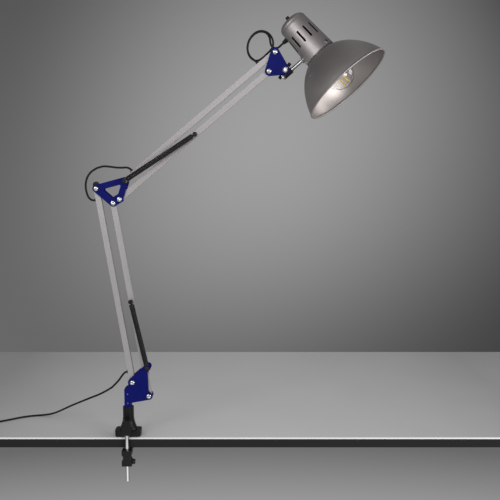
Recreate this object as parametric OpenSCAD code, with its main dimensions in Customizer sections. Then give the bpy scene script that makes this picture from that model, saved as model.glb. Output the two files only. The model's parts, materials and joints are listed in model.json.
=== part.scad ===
// Swing-arm desk lamp on a table clamp, in millimetres.
// The origin is on the table top, under the clamp's swivel post. Z is up, the arms swing in X and Z,
// and the front of the lamp faces -Y.

/* [Arms] */
// Distance between the pivots of a lower arm
lower_arm_len = 357; // [300:1:420]
// Lean of the lower arms to the left of upright, in degrees
lower_arm_lean = 9.4; // [4:0.2:14]
// Distance between the pivots of an upper arm
upper_arm_len = 346; // [290:1:400]
// Rise of the upper arms above level, in degrees
upper_arm_rise = 40.1; // [30:0.1:45]
// Outer width of the square arm tubes
tube_w = 10; // [9:0.5:11]
// Wall of the arm tubes
tube_wall = 1; // [0.8:0.1:1.5]
// Length of tube past its pivot
tube_over = 3; // [2:0.5:4]
// Length of an end plug inside its tube
plug_depth = 14; // [10:1:20]
// Reach of the long cap past the elbow pivot of the rear lower arm
rear_cap_over = 12; // [7:0.5:16]
// Distance from a pivot to the cord hole beside it
cord_hole_at = 20; // [16:1:30]
// Distance from the head pivot to the last cord hole in the top arm
head_cord_hole_at = 35; // [25:1:60]

/* [Pivots] */
// Rear foot pivot, to the right of the post
rear_foot_x = 9; // [6:0.5:12]
// Rear foot pivot, height above the table
rear_foot_z = 100; // [96:0.5:110]
// Front foot pivot, to the right of the rear one
foot_dx = 29.5; // [26:0.5:34]
// Front foot pivot, drop below the rear one
foot_drop = 25.5; // [20:0.5:28]
// Lower arm's elbow pivot to the under arm's, across
elbow_dx = 40.85; // [38:0.05:46]
// Lower arm's elbow pivot to the under arm's, down
elbow_drop = 18.85; // [16:0.05:21]
// Under arm's pivot to the top arm's, across
upper_dx = 10.3; // [8:0.1:13]
// Under arm's pivot to the top arm's, up
upper_dz = 32.6; // [30:0.1:36]
// Under arm's head pivot to the tilt screw, across
tilt_dx = 28.1; // [26:0.1:32]
// Under arm's head pivot to the tilt screw, up
tilt_dz = 2.3; // [0:0.1:5]

/* [Brackets] */
// Thickness of the bracket plates
plate_t = 2; // [1.5:0.1:3]
// Edge of the elbow plates round their pivots
elbow_rim = 6.5; // [5.5:0.1:7.5]
// Width of the elbow plates along their upper and right sides
elbow_band = 4.6; // [3.5:0.1:5.5]
// Width of the elbow plates along their lower side
elbow_foot_band = 9; // [8:0.5:12]
// Width of the elbow plates along their left side
elbow_left_band = 6.5; // [6:0.5:9]
// Corner radius of the hole in the elbow plates
elbow_hole_r = 2; // [1:0.25:2.5]
// Edge of the head bracket plates round their pivots
head_rim = 7.5; // [6:0.1:9]
// Edge of the lower bracket round the rear foot pivot
rear_foot_rim = 8; // [6:0.1:9]
// Edge of the lower bracket round the front foot pivot
front_foot_rim = 7; // [6:0.1:9]
// Edge of the lower bracket round the spring stud
stud_rim = 6; // [5:0.1:7]
// Spring stud on the lower bracket, to the right of the rear foot pivot
stud_dx = 28; // [25:0.5:32]
// Spring stud on the lower bracket, above the rear foot pivot
stud_dz = 28; // [24:0.5:32]
// Width of the lower bracket's leg
leg_w = 12; // [12:0.5:15]
// Height of the block between the leg's plates
block_h = 33; // [28:0.5:34]
// Height of the leg's right side, below its slanted edge
leg_step = 7.5; // [5:0.5:12]

/* [Fasteners] */
// Diameter of the pivot bolts
bolt_d = 5; // [4:0.1:5.5]
// Diameter of a bolt head
bolt_head_d = 9.5; // [8.5:0.1:11]
// Height of a bolt head
bolt_head_h = 3.2; // [2.4:0.1:4]
// Width of a nut across its flats
nut_af = 8; // [7.5:0.1:10]
// Height of a nut
nut_h = 4; // [3:0.1:5]
// Length of bolt past its nut
bolt_tail = 1; // [0.5:0.1:2]
// Outer diameter of the nylon washers
washer_d = 9; // [7.5:0.1:10]
// Thickness of the nylon washers
washer_t = 0.8; // [0.5:0.1:1.2]
// Gap between a washer and the arm that turns beside it
side_gap = 0.2; // [0.1:0.05:0.4]
// Radial clearance of a turning fit
turn_fit = 0.05; // [0.02:0.01:0.1]
// Radial clearance at the pivots where a linkage closes
closing_fit = 0.15; // [0.1:0.01:0.3]
// Diameter of the cross pins in the lower bracket
cross_pin_d = 3; // [2:0.1:4]

/* [Springs] */
// Outer diameter of the springs
spring_d = 9.5; // [8:0.1:10]
// Diameter of the spring wire
wire_d = 1.7; // [1.2:0.1:2]
// Number of curls in the lower spring
lower_curls = 26; // [18:1:30]
// Number of curls in the upper spring
upper_curls = 34; // [24:1:38]
// Distance from the front foot pivot to the lower spring's knob
lower_knob_at = 178; // [150:1:220]
// Distance from the under arm's elbow pivot to the upper spring's knob
upper_knob_at = 176.6; // [150:0.1:200]
// Distance from the front plates to the axis of the springs
spring_off = 5.5; // [5.2:0.1:7]
// Diameter of the studs that hold the springs
stud_d = 5; // [4:0.1:6]
// Diameter of the heads of these studs
stud_head_d = 8.5; // [7:0.1:9]
// Height of the heads of these studs
stud_head_h = 2; // [1:0.1:3]

/* [Clamp] */
// Width of the upper jaw's foot
foot_w = 47; // [42:0.5:54]
// Reach of the foot in front of the post
foot_front = 16; // [14:0.5:18]
// Reach of the foot behind the post
foot_back = 11; // [10:0.5:24]
// Height of the foot's casting
foot_h = 10; // [9:0.5:12]
// Corner radius of the foot
foot_r = 6; // [3:0.5:9]
// Thickness of the rubber pads
pad_t = 2; // [1:0.1:3]
// Diameter of the bell where it meets the foot
bell_d = 33; // [30:0.5:36]
// Height of the bell above the foot
bell_h = 25; // [20:0.5:26]
// Diameter of the swivel collar
collar_d = 20; // [18:0.5:22]
// Height of the swivel collar
collar_h = 17; // [14:0.5:20]
// Diameter of the swivel post
post_d = 9; // [7:0.1:10]
// Thickness of casting under the swivel post
post_floor = 6; // [4:0.5:8]
// Gap between the collar and the leg that turns over it
swivel_gap = 0.3; // [0.2:0.05:0.5]
// Diameter of the clamp rod
rod_d = 7; // [6:0.1:8]
// Distance of the clamp rod in front of the post
rod_off = 24; // [23:0.5:27]
// Length of the clamp rod below the table top
rod_below = 80; // [76:0.5:100]
// Width of the boss that holds the clamp rod
boss_w = 17.5; // [15:0.5:20]
// Depth of that boss from front to back
boss_depth = 16; // [14:0.5:18]
// Height of the boss above the foot
boss_rise = 24; // [20:0.5:26]
// Height of the boss's underside above the table top
boss_low = 8; // [6:0.5:9]
// Length of clamp rod held in the boss
rod_grip = 20; // [16:0.5:22]
// Thickness of the table in the clamp
table_t = 18; // [10:0.5:22]
// Width of the lower jaw
jaw_w = 18; // [16:0.5:22]
// Height of the lower jaw's block
jaw_h = 29; // [27:0.5:36]
// Width of the lower jaw at its waist
jaw_waist = 13; // [11:0.5:15]
// Thickness of the arm that reaches under the table
jaw_arm_t = 6.5; // [6:0.5:11]
// Width of that arm
jaw_arm_w = 14; // [10:0.5:16]
// Diameter of the lower pad and of its seat
jaw_pad_d = 25; // [20:0.5:30]
// Thickness of the lower pad
jaw_pad_t = 3; // [2:0.1:4]
// Height of the thumb screw above the jaw's underside
thumb_at = 6.5; // [5.5:0.1:8]
// Diameter of the thumb screw's thread
thumb_d = 4; // [3:0.1:5]
// Diameter of the thumb screw's knob
thumb_knob_d = 9.4; // [8:0.1:10.5]
// Length of the thumb screw's knob
thumb_knob_l = 5; // [4:0.1:8]

/* [Tilt joint] */
// Angle of the head's stem above level, in degrees
stem_rise = 41.4; // [35:0.1:50]
// Distance from the tilt screw to the head's axis, along the stem
stem_reach = 63.7; // [60:0.1:70]
// Distance of the stem's axis below the tilt screw
stem_drop = 7.2; // [6.8:0.1:8]
// Diameter of the stem
stem_d = 6.5; // [5.5:0.1:7]
// Outer diameter of the knuckle's boss round the stem
knuckle_boss_d = 11; // [10:0.1:11.8]
// Length of that boss
knuckle_boss_l = 17; // [16.5:0.5:20]
// Radius of the knuckle round the tilt screw
knuckle_r = 8; // [7:0.1:9]
// Gap between the knuckle and each bracket plate
knuckle_gap = 0.1; // [0.05:0.05:0.2]
// Width of the stem's nuts across their flats
stem_nut_af = 10; // [9:0.1:11]
// Height of the stem's nuts
stem_nut_h = 3; // [2:0.1:4]
// Diameter of the tilt screw's head
tilt_head_d = 10; // [9:0.1:12]
// Diameter of the tilt screw's collar behind the bracket
tilt_collar_d = 8; // [7:0.1:10]
// Length of that collar
tilt_collar_l = 13.5; // [11:0.5:16]
// Diameter of the cross bar on the tilt screw
bar_d = 4.5; // [3.5:0.1:5]
// Length of the cross bar
bar_l = 33; // [28:0.5:40]
// Length of a cross bar tip
bar_tip_l = 6; // [4:0.5:8]
// Diameter of a cross bar tip
bar_tip_d = 6; // [5.5:0.1:7]
// Slope of the cross bar at rest, in degrees
bar_slope = 55; // [0:1:90]

/* [Head] */
// Turn of the head about its stem at rest, in degrees
head_turn = 13.75; // [0:0.25:30]
// Outer diameter of the cup at its cap
cup_cap_d = 51.6; // [48:0.2:54]
// Outer diameter of the cup at its mouth
cup_mouth_d = 59; // [57:0.2:63]
// Length of the cup behind the stem
cup_back = 58; // [55:0.5:64]
// Length of the cup in front of the stem
cup_front = 15; // [13:0.5:17]
// Wall of the cup
cup_wall = 1.2; // [0.8:0.1:1.6]
// Depth of the cap over the end of the cup
cap_h = 9; // [7:0.5:11]
// Length of the cap's skirt inside the cup
cap_skirt = 6; // [4:0.5:8]
// Number of vent slots
vents = 12; // [8:1:14]
// Length of a vent slot
vent_l = 24.5; // [18:0.5:26]
// Width of a vent slot
vent_w = 3.6; // [2:0.1:4]
// Distance from the stem to the near end of the vent slots
vent_at = 13.5; // [12:0.5:16]
// Outer diameter of the shade at its rim
shade_d = 168.6; // [150:0.2:180]
// Distance from the stem to the plane of the rim
rim_at = 86; // [82:0.5:96]
// Half length of the ellipsoid that the shade is cut from
dome_h = 112.5; // [111:0.5:116]
// Distance from the shade's wall at the rim out to that ellipsoid's widest circle
dome_out = 4.85; // [4:0.05:6]
// Wall of the shade
shade_wall = 1; // [0.8:0.1:1.5]
// Diameter of the rolled rim
bead_d = 3.2; // [2.4:0.1:4]
// Outer diameter of the shade's sleeve inside the cup
sleeve_d = 55; // [53:0.2:55.4]
// Distance from the stem to the sleeve's end inside the cup
sleeve_at = 6.5; // [6.5:0.25:7]
// Distance from the stem to the shade screws
shade_screw_at = 9; // [8.5:0.5:10]
// Diameter of the shade screws
shade_screw_d = 3; // [2.5:0.1:3.5]
// Diameter of the heads of the shade screws
shade_screw_head_d = 5.5; // [4.5:0.1:6.5]

/* [Lamp socket] */
// Outer diameter of the lampholder
holder_d = 39; // [36:0.5:41]
// Length of the lampholder behind the stem
holder_back = 28; // [22:0.5:32]
// Length of the lampholder in front of the stem
holder_front = 16; // [12:0.5:20]
// Thickness of the lampholder's flange
flange_t = 3; // [2:0.1:4]
// Outer diameter of the socket shell
socket_d = 29.4; // [28.6:0.1:31]
// Wall of the socket shell
socket_wall = 0.6; // [0.4:0.1:0.8]
// Depth of the socket in the lampholder
socket_depth = 25.5; // [20:0.5:28]
// Diameter of the bulb's base
base_d = 26.5; // [25:0.1:26.8]
// Length of the bulb's base
base_l = 26; // [24:0.5:30]
// Diameter of the bulb
bulb_d = 54; // [46:0.5:60]
// Distance from the stem to the centre of the bulb
bulb_at = 62; // [58:0.5:64]
// Wall of the bulb's glass
glass_wall = 0.8; // [0.5:0.1:1]
// Number of filaments
filaments = 4; // [2:1:6]
// Diameter of the circle that the filaments stand on
filament_ring_d = 14; // [10:0.5:18]
// Length of a filament
filament_l = 33; // [24:0.5:36]
// Distance from the bulb's centre forward to the middle of the filaments
filament_ahead = 5.5; // [0:0.5:6]
// Diameter of a filament
filament_d = 1.6; // [1.2:0.1:2]

/* [Switch and gland] */
// Diameter of the switch button
button_d = 6.8; // [5:0.1:8]
// Height of the button above the bezel
button_rise = 8.5; // [3:0.1:10]
// Travel of the button
button_travel = 2; // [1:0.1:2.5]
// Diameter of the switch body
switch_d = 11.6; // [10:0.1:13]
// Length of the switch body inside the cap
switch_l = 20; // [16:0.5:24]
// Height of the switch bezel
bezel_h = 1.4; // [1:0.1:2]
// Distance from the stem back to the cord gland
gland_at = 46; // [43:0.5:48]
// Diameter of the cord gland
gland_d = 9; // [8:0.1:10]
// Length of the cord gland outside the cup
gland_l = 8; // [6:0.5:12]

/* [Cord] */
// Diameter of the cord
cord_d = 3.6; // [3.2:0.1:3.8]
// Outer diameter of the cord grommets
grommet_d = 7; // [6:0.1:8]
// Height of the grommets above the tube
grommet_h = 1.5; // [1:0.1:2.5]
// Number of loops in the coil
coil_loops = 10; // [6:1:10]
// Radius of the outer loops of the coil
coil_r = 26; // [24:0.5:27]
// Distance between loops that lie beside or on each other
coil_step = 4.2; // [4.2:0.05:4.5]
// Length of the plug's body
plug_l = 36; // [30:0.5:42]
// Width of the plug's body
plug_w = 26; // [24:0.5:30]
// Thickness of the plug's body
plug_t = 13.6; // [12:0.1:16]
// Diameter of the plug's pins
plug_pin_d = 4; // [3.5:0.1:5]
// Length of the plug's pins
plug_pin_l = 19; // [16:0.5:20]
// Distance between the plug's pins
plug_pin_gap = 19; // [14:0.5:19]

/* [Hidden] */
$fn = 96;

// Colours
blue = [0.09, 0.11, 0.44];
black = [0.07, 0.07, 0.08];
nickel = [0.55, 0.51, 0.48];
satin = [0.74, 0.70, 0.70];
chrome = [0.82, 0.82, 0.84];
nylon = [0.90, 0.90, 0.87];
ceramic = [0.93, 0.92, 0.89];
brass = [0.80, 0.64, 0.30];
gold = [0.95, 0.70, 0.25];
glass = [0.90, 0.95, 1.00, 0.35];

// A length that reaches past every piece, for cuts
far = 200;
// How far a cut runs past the face that it opens
past = 1;

// Arm directions above the X axis, in degrees
lower_dir = 90 + lower_arm_lean;
upper_dir = upper_arm_rise;

// Pivots, as X and Z
rear_foot = [rear_foot_x, rear_foot_z];
front_foot = rear_foot + [foot_dx, -foot_drop];
rear_elbow = rear_foot + polar(lower_arm_len, lower_dir);
front_elbow = front_foot + polar(lower_arm_len, lower_dir);
under_elbow = rear_elbow + [elbow_dx, -elbow_drop];
top_elbow = under_elbow + [upper_dx, upper_dz];
under_head = under_elbow + polar(upper_arm_len, upper_dir);
top_head = top_elbow + polar(upper_arm_len, upper_dir);
tilt = under_head + [tilt_dx, tilt_dz];
stud = rear_foot + [stud_dx, stud_dz];
lower_knob = front_foot + polar(lower_knob_at, lower_dir);
upper_knob = under_elbow + polar(upper_knob_at, upper_dir);

// Stack of the brackets from the middle outwards
arm_side = tube_w / 2;
plate_in = arm_side + side_gap + washer_t;
plate_out = plate_in + plate_t;
bolt_hole = bolt_d + 2 * turn_fit;
closing_hole = bolt_d + 2 * closing_fit;
tube_in = tube_w - 2 * tube_wall;
// Gap between an end plug and its tube
plug_fit = 0.05;

// Springs, whose axes lie in front of the plates
spring_y = -plate_out - spring_off;
spring_turn_r = (spring_d - wire_d) / 2;
// Gap between a spring's end and its stud
spring_hold = stud_d / 2 + 0.3;
// Curls over which a spring widens from its end
spring_ease = 0.75;
curl_rings = 8;
curl_sides = 6;
// Distance from a spring's axis to the head of its stud
stud_neck = 2.5;

// Clamp heights
foot_top = pad_t + foot_h;
bell_top = foot_top + bell_h;
collar_top = bell_top + collar_h;
leg_z = collar_top + swivel_gap;
block_top = leg_z + block_h;
boss_top = foot_top + boss_rise;
rod_top = boss_low + rod_grip;
post_z = pad_t + post_floor;
post_hole = post_d + 2 * turn_fit;
rod_hole = rod_d + 2 * turn_fit;
bell_steps = 8;
// Chamfer of the clamp rod's ends
rod_chamfer = 0.8;
jaw_seat = -table_t - jaw_pad_t;
// Height of the lower jaw's block above its pad's seat
jaw_lip = 1;
jaw_top = jaw_seat + jaw_lip;
jaw_z = jaw_top - jaw_h;
// Heights of the lower jaw's waist
waist_top = jaw_top - 0.4 * jaw_h;
waist_low = jaw_top - 0.55 * jaw_h;
waist_slope = 4;
// The lower jaw's pad lies under the foot
jaw_pad_y = 2;
thumb_z = jaw_z + thumb_at;
thumb_tip = 0.1;
thumb_gap = 0.3;
// Depth of the notch between the foot's pad and the foot's edge
pad_inset = 1;
// Where the leg's slanted edge meets the rim of the front foot pivot, in degrees
foot_edge = -70;
// Cross pins through the leg, from its ends
cross_pin_low = 7;
cross_pin_high = 9;

// Head axes: local +Z runs from the cap to the mouth, local +X back along the stem
head_pitch = 180 - stem_rise;
head_origin = tilt + polar(stem_reach, stem_rise) + polar(stem_drop, stem_rise - 90);
stem_hole = stem_d + 2 * turn_fit;
knuckle_y = plate_in - knuckle_gap;
boss_near = stem_reach - knuckle_boss_l / 2;
boss_far = stem_reach + knuckle_boss_l / 2;
// Gaps between the stem's nuts and the faces that they hold
nut_gap = 0.2;
stem_tail = 1;
bar_y = plate_out + tilt_collar_l - bar_d;
// Depth of a cross bar tip's socket
tip_depth = 3;

// Cup radius outside at a height along the head's axis
cup_slope = (cup_mouth_d - cup_cap_d) / 2 / (cup_back + cup_front);
cap_r = cup_cap_d / 2;
cap_corner = 8.5;
cap_steps = 6;
skirt_fit = 0.1;
// Turn of the first vent slot and of the first shade screw from the stem
vent_turn = 180 / vents;
shade_screw_turn = 230;
shade_screws_n = 3;
shade_screw_l = 5;
shade_screw_head_h = 1.6;
shade_screw_hole = shade_screw_d + 2 * turn_fit;

// Shade, as the part of an ellipse from its rim to the sleeve
shade_r = shade_d / 2 - bead_d / 2 + shade_wall / 2;
sleeve_r = sleeve_d / 2;
dome_r = shade_r + dome_out;
rim_end = acos(shade_r / dome_r);
dome_z = rim_at + dome_h * sin(rim_end);
sleeve_end = acos(sleeve_r / dome_r);
shade_steps = 18;
// Half angle of the rolled rim that the shade's wall takes up
bead_open = asin(shade_wall / bead_d);
bead_steps = 12;

// Lampholder, socket and bulb
flange_fit = 0.2;
socket_floor = holder_front - socket_depth;
socket_fit = 0.1;
base_gap = 0.4;
base_z = socket_floor + socket_wall + base_gap;
glass_z = base_z + base_l;
bulb_r = bulb_d / 2;
neck_r = base_d / 2 - 0.4;
neck_end = atan(neck_r / (bulb_at - glass_z));
neck_span = norm([neck_r, bulb_at - glass_z]);
bulb_end = 180 - neck_end - acos(bulb_r / neck_span);
bulb_steps = 16;
base_thread = 0.5;
base_turns = 6;
contact_r = 5;
contact_h = 3;
glass_stem_d = 7;
filament_z = bulb_at + filament_ahead - filament_l / 2;

// Switch
switch_z = -cup_back - cap_h;
button_end = switch_z - bezel_h - button_rise;
// Floor of the switch body, and the gap left over it when the button is down
switch_floor = 2;
button_gap = 0.3;
button_l = button_rise + bezel_h + switch_l - switch_floor - button_travel - button_gap;
switch_hole = switch_d + 2 * turn_fit;
button_hole = button_d + 2 * turn_fit;
bezel_rim = 1.2;

// Gland: its tip is narrower than its foot, and a nut holds it inside the cup
gland_tip_d = 6.5;
gland_neck_d = gland_d - 2;
gland_nut_h = 2;
gland_seat = cup_r(gland_d / 2 - gland_at);

// Cord
cord_r = cord_d / 2;
cord_gap = 0.05;
cord_sides = 8;
grommet_neck = grommet_d - 1.6;
grommet_top = arm_side + grommet_h + cord_gap;
lead_exit = arm_point(rear_foot, lower_dir, cord_hole_at, grommet_top);
elbow_exit = arm_point(rear_foot, lower_dir, lower_arm_len - cord_hole_at, grommet_top);
elbow_entry = arm_point(top_elbow, upper_dir, cord_hole_at, grommet_top);
head_exit = arm_point(top_elbow, upper_dir, upper_arm_len - head_cord_hole_at, grommet_top);
gland_tip = head_point([gland_seat + gland_l + cord_gap, 0, -gland_at]);
gland_lead = head_point([gland_seat + gland_l + cord_d, 0, -gland_at]);

// Points along the cord's loops and its lead
elbow_route = [
    elbow_exit, [-56.2, 0, 430.9], [-60.8, 0, 432.6], [-64.8, 0, 437.5], [-67.5, 0, 445], [-68.8, 0, 453.5],
    [-68.5, 0, 462], [-65.5, 0, 472], [-59, 0, 481], [-48.5, 0, 488], [-37, 0, 491], [-26, 0, 490.5],
    [-14, 0, 489], [-4, 0, 488.7], [4.5, 0, 489], [10.5, 0, 486.7], elbow_entry
];
head_route = [
    head_exit, [229.2, 0, 676.6], [222.9, 0, 682.6], [219.4, 0, 690.6], [218.6, 0, 699.4],
    [220.8, 0.2, 708.9],
    [225.6, 0.5, 717.3], [232.5, 0.8, 723.4], [240.8, 1.1, 726.4], [249.2, 1.4, 725.6], [256.4, 1.8, 721.4],
    [261.4, 2.3, 714.6], [263.6, 2.9, 706.6], [262.6, 3.5, 699], [258.3, 4, 692.9], [252.2, 5.2, 687],
    [245.4, 6.6, 681], [238.2, 7.9, 676.6], [230.8, 8.8, 676.6], [224.2, 9.2, 681.2], [220, 9.5, 688.6],
    [218.7, 9.8, 697.6], [220.2, 10.1, 707.2], [224.7, 10.5, 715.9], [231.3, 11, 722.5], [239.4, 11.6, 726],
    [247.9, 12.3, 725.7], [254, 12.9, 721.9], [257.6, 13.4, 715.9], [258.6, 13.8, 709.4], [259.9, 14, 703.8],
    [263.2, 13.9, 699.7], [268, 13.4, 697.9], [273.4, 12.4, 699.1], gland_lead, gland_tip
];
lead_route = [
    lead_exit, [-6, 0, 116], [-11, 1, 110], [-19, 4, 99], [-31, 10, 86], [-45, 18, 76], [-60, 28, 66.5],
    [-79, 39, 56.5], [-98, 51, 46], [-117, 65, 35], [-136, 80, 23], [-153, 93, 12.5], [-169, 102, 5.5],
    [-185, 106, 2.3], [-203, 103, 1.8], [-222, 94, 1.8], [-240, 80.5, 1.8], [-257, 68.5, 1.8],
    [-270, 60.5, 1.8], [-281, 57, 1.8], [-285, 57, 1.8], [-289, 57, 1.8]
];
// Smaller steps between the points of the lead
lead_steps = 2;

// Coil, which spirals in and out in layers
coil_x = -305;
coil_y = 30;
coil_start = 90;
coil_layers = 4;
layer_turns = coil_loops / coil_layers;
loop_rings = 24;
loop_sides = 6;
// Turns in which the cord climbs from one layer to the next
climb_turns = 0.5;
// Where the plug's neck begins, and the cord's way from the coil to it
plug_at = [-349, 82, plug_t / 2];
tail_route = [[-314, 56, 14], [-323, 57, 12.8], [-332, 59.5, 10.8], [-340, 64.5, 8.6], [-346, 72, 7.1]];
plug_neck_l = 20;
plug_neck_d = 8;
plug_shoulder = 12;
plug_corner = 3;
plug_pin_hold = 6;

// Plane geometry
function polar(r, a) = r * [cos(a), sin(a)];
function unit(v) = v / norm(v);
function turn(d) = [d.y, -d.x];
function meet(p, d, q, e) = p + d * ((q.x - p.x) * e.y - (q.y - p.y) * e.x) / (d.x * e.y - d.y * e.x);

// A polygon's corners moved inwards, each side by its own gap
function inset(points, gaps) = [
    for (i = [0 : len(points) - 1])
        let (n = len(points), h = (i + n - 1) % n)
        let (d = points[i] - points[h], e = points[(i + 1) % n] - points[i])
        meet(points[h] - gaps[h] * unit(turn(d)), d, points[i] - gaps[i] * unit(turn(e)), e)
];

// A place on an arm: x along it from its first pivot, z up from its middle
function arm_point(pivot, dir, x, z) =
    [pivot.x + x * cos(dir) - z * sin(dir), 0, pivot.y + x * sin(dir) + z * cos(dir)];

// A place on the head, from its own axes
function head_point(p) =
    let (y = p.y * cos(head_turn) - p.z * sin(head_turn), z = p.y * sin(head_turn) + p.z * cos(head_turn))
    [head_origin.x + p.x * cos(head_pitch) + z * sin(head_pitch), y,
     head_origin.y - p.x * sin(head_pitch) + z * cos(head_pitch)];

function cup_r(z) = cap_r + cup_slope * (z + cup_back);

// Curves through points, and tubes along them
function blend_at(a, b, c, d, t) =
    b + t / 2 * (c - a) + t * t * (a - 2.5 * b + 2 * c - d / 2) + t * t * t * (1.5 * (b - c) + (d - a) / 2);
function spline(p, n) = concat(
    [for (i = [0 : len(p) - 2]) for (k = [0 : n - 1])
        blend_at(p[max(i - 1, 0)], p[i], p[i + 1], p[min(i + 2, len(p) - 1)], k / n)],
    [p[len(p) - 1]]
);
function headings(path) =
    let (n = len(path) - 1) [for (i = [0 : n]) unit(path[min(i + 1, n)] - path[max(i - 1, 0)])];
function square_to(v, t) = unit(v - (v * t) * t);
function across(t) = unit(cross(t, abs(t.z) < 0.9 ? [0, 0, 1] : [1, 0, 0]));
function frames(t) =
    [for (i = 0, v = across(t[0]); i < len(t); i = i + 1, v = square_to(v, t[min(i, len(t) - 1)])) v];
function least_gap(path, skip, d) = min([
    for (i = [0 : len(path) - 1 - skip]) for (j = [i + skip : len(path) - 1]) norm(path[i] - path[j])
]) - d;

module tube(path, d, sides) {
    t = headings(path);
    u = frames(t);
    step = 360 / sides;
    last = (len(path) - 1) * sides;
    rings = [for (i = [0 : len(path) - 1]) for (k = [0 : sides - 1])
        path[i] + d / 2 * (cos(k * step) * u[i] + sin(k * step) * cross(t[i], u[i]))];
    walls = [for (i = [0 : sides : last - sides]) for (k = [0 : sides - 1]) let (m = (k + 1) % sides)
        each [[i + k, i + sides + k, i + m], [i + m, i + sides + k, i + sides + m]]];
    caps = [for (k = [1 : sides - 2]) each [[0, k, k + 1], [last, last + k + 1, last + k]]];
    polyhedron(rings, concat(walls, caps));
}

// Outlines drawn in X and Z
module slab(y, t) translate([0, y + t, 0]) rotate([90, 0, 0]) linear_extrude(t) children();
module rod_y(p, d, y0, y1) translate([p.x, y0, p.y]) rotate([-90, 0, 0]) cylinder(d = d, h = y1 - y0);
module rod_x(d, x0, x1) translate([x0, 0, 0]) rotate([0, 90, 0]) cylinder(d = d, h = x1 - x0);

module strap(p, q, rp, rq) {
    heading = atan2(q.y - p.y, q.x - p.x);
    lean = acos((rp - rq) / norm(q - p));
    translate(p) circle(rp);
    translate(q) circle(rq);
    polygon([p + polar(rp, heading + lean), p + polar(rp, heading - lean),
             q + polar(rq, heading - lean), q + polar(rq, heading + lean)]);
}

module rounded(points, r) {
    n = len(points);
    out = [for (i = [0 : n - 1]) r * unit(turn(points[(i + 1) % n] - points[i]))];
    for (p = points) translate(p) circle(r);
    polygon([for (i = [0 : n - 1]) each [points[i] + out[(i + n - 1) % n], points[i] + out[i]]]);
}

module rounded_box(x0, x1, y0, y1, r, h) linear_extrude(h)
    rounded([[x0 + r, y0 + r], [x1 - r, y0 + r], [x1 - r, y1 - r], [x0 + r, y1 - r]], r);

// Fasteners that lie along Y
module pan_head(p, y, d, h) {
    rod_y(p, d, y - h / 2, y);
    translate([p.x, y - h / 2, p.y]) rotate([90, 0, 0]) cylinder(d1 = d, d2 = d * 0.6, h = h / 2);
}

module bolt(p) {
    rod_y(p, bolt_d, -plate_out, plate_out + nut_h + bolt_tail);
    pan_head(p, -plate_out, bolt_head_d, bolt_head_h);
}

module nut(p) difference() {
    translate([p.x, plate_out, p.y]) rotate([-90, 0, 0]) cylinder(d = nut_af / cos(30), h = nut_h, $fn = 6);
    rod_y(p, bolt_hole, 0, far);
}

module bolts_and_nuts(pivots) for (p = pivots) {
    bolt(p);
    nut(p);
}

module washers(pivots) for (p = pivots) for (side = [0, 1]) mirror([0, side, 0]) difference() {
    rod_y(p, washer_d, plate_in - washer_t, plate_in);
    rod_y(p, bolt_hole, 0, far);
}

module bores(pivots, d) for (p = pivots) rod_y(p, d, -far, far);

module plate(front) slab(front ? -plate_out : plate_in, plate_t) children();

// Arms, along X from their first pivot
module on_arm(pivot, dir) translate([pivot.x, 0, pivot.y]) rotate([0, -dir, 0]) children();

module arm_tube(length, first_hole, last_hole, cord_holes) difference() {
    translate([-tube_over, -tube_w / 2, -tube_w / 2]) cube([length + 2 * tube_over, tube_w, tube_w]);
    translate([-far / 2, -tube_in / 2, -tube_in / 2]) cube([length + far, tube_in, tube_in]);
    rod_y([0, 0], first_hole, -far, far);
    rod_y([length, 0], last_hole, -far, far);
    for (x = cord_holes) translate([x, 0, 0]) cylinder(d = grommet_neck, h = far);
}

module knob_hole(at) rod_y([at, 0], stud_d, -far, 0);

// End plug at the origin, whose nose points to -X
module end_plug(hole, over) {
    insert = tube_in - 2 * plug_fit;
    nose = over - arm_side;
    difference() {
        union() {
            translate([-tube_over, -insert / 2, -insert / 2]) cube([plug_depth, insert, insert]);
            intersection() {
                slab(-arm_side, tube_w) {
                    translate([-nose, 0]) circle(arm_side);
                    translate([-nose, -arm_side]) square([nose + tube_over, tube_w]);
                }
                translate([-far - tube_over, -far / 2, -far / 2]) cube(far);
            }
        }
        rod_y([0, 0], hole, -far, far);
    }
}

module end_plugs(length, first_hole, last_hole, last_over) {
    end_plug(first_hole, arm_side);
    translate([length, 0, 0]) mirror([1, 0, 0]) end_plug(last_hole, last_over);
}

module grommet(x) translate([x, 0, 0]) difference() {
    union() {
        translate([0, 0, arm_side]) cylinder(d = grommet_d, h = grommet_h);
        translate([0, 0, arm_side - tube_wall])
            cylinder(d = grommet_neck - 2 * plug_fit, h = tube_wall + past);
    }
    cylinder(d = cord_d + 2 * cord_gap, h = far);
}

// Spring studs, from a face at y to their heads in front of the spring
module spring_stud(p, y) {
    rod_y(p, stud_d, spring_y - stud_neck, y);
    pan_head(p, spring_y - stud_neck, stud_head_d, stud_head_h);
}

function spring_path(a, b, curls) =
    let (p = [a.x, spring_y, a.y], q = [b.x, spring_y, b.y], axis = unit(q - p), side = [0, 1, 0])
    let (up = cross(axis, side), first = spring_hold + wire_d, run = norm(q - p) - 2 * first)
    concat(
        [p + axis * spring_hold],
        [for (i = [0 : curls * curl_rings])
            let (t = i / curl_rings, grow = min(1, t / spring_ease, (curls - t) / spring_ease))
            p + axis * (first + run * t / curls)
                + spring_turn_r * grow * (side * cos(360 * t) + up * sin(360 * t))],
        [q - axis * spring_hold]
    );

module spring(a, b, curls) {
    path = spring_path(a, b, curls);
    echo(least_gap = least_gap(path, curl_rings / 2, wire_d));
    color(black) tube(path, wire_d, curl_sides);
}

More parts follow.
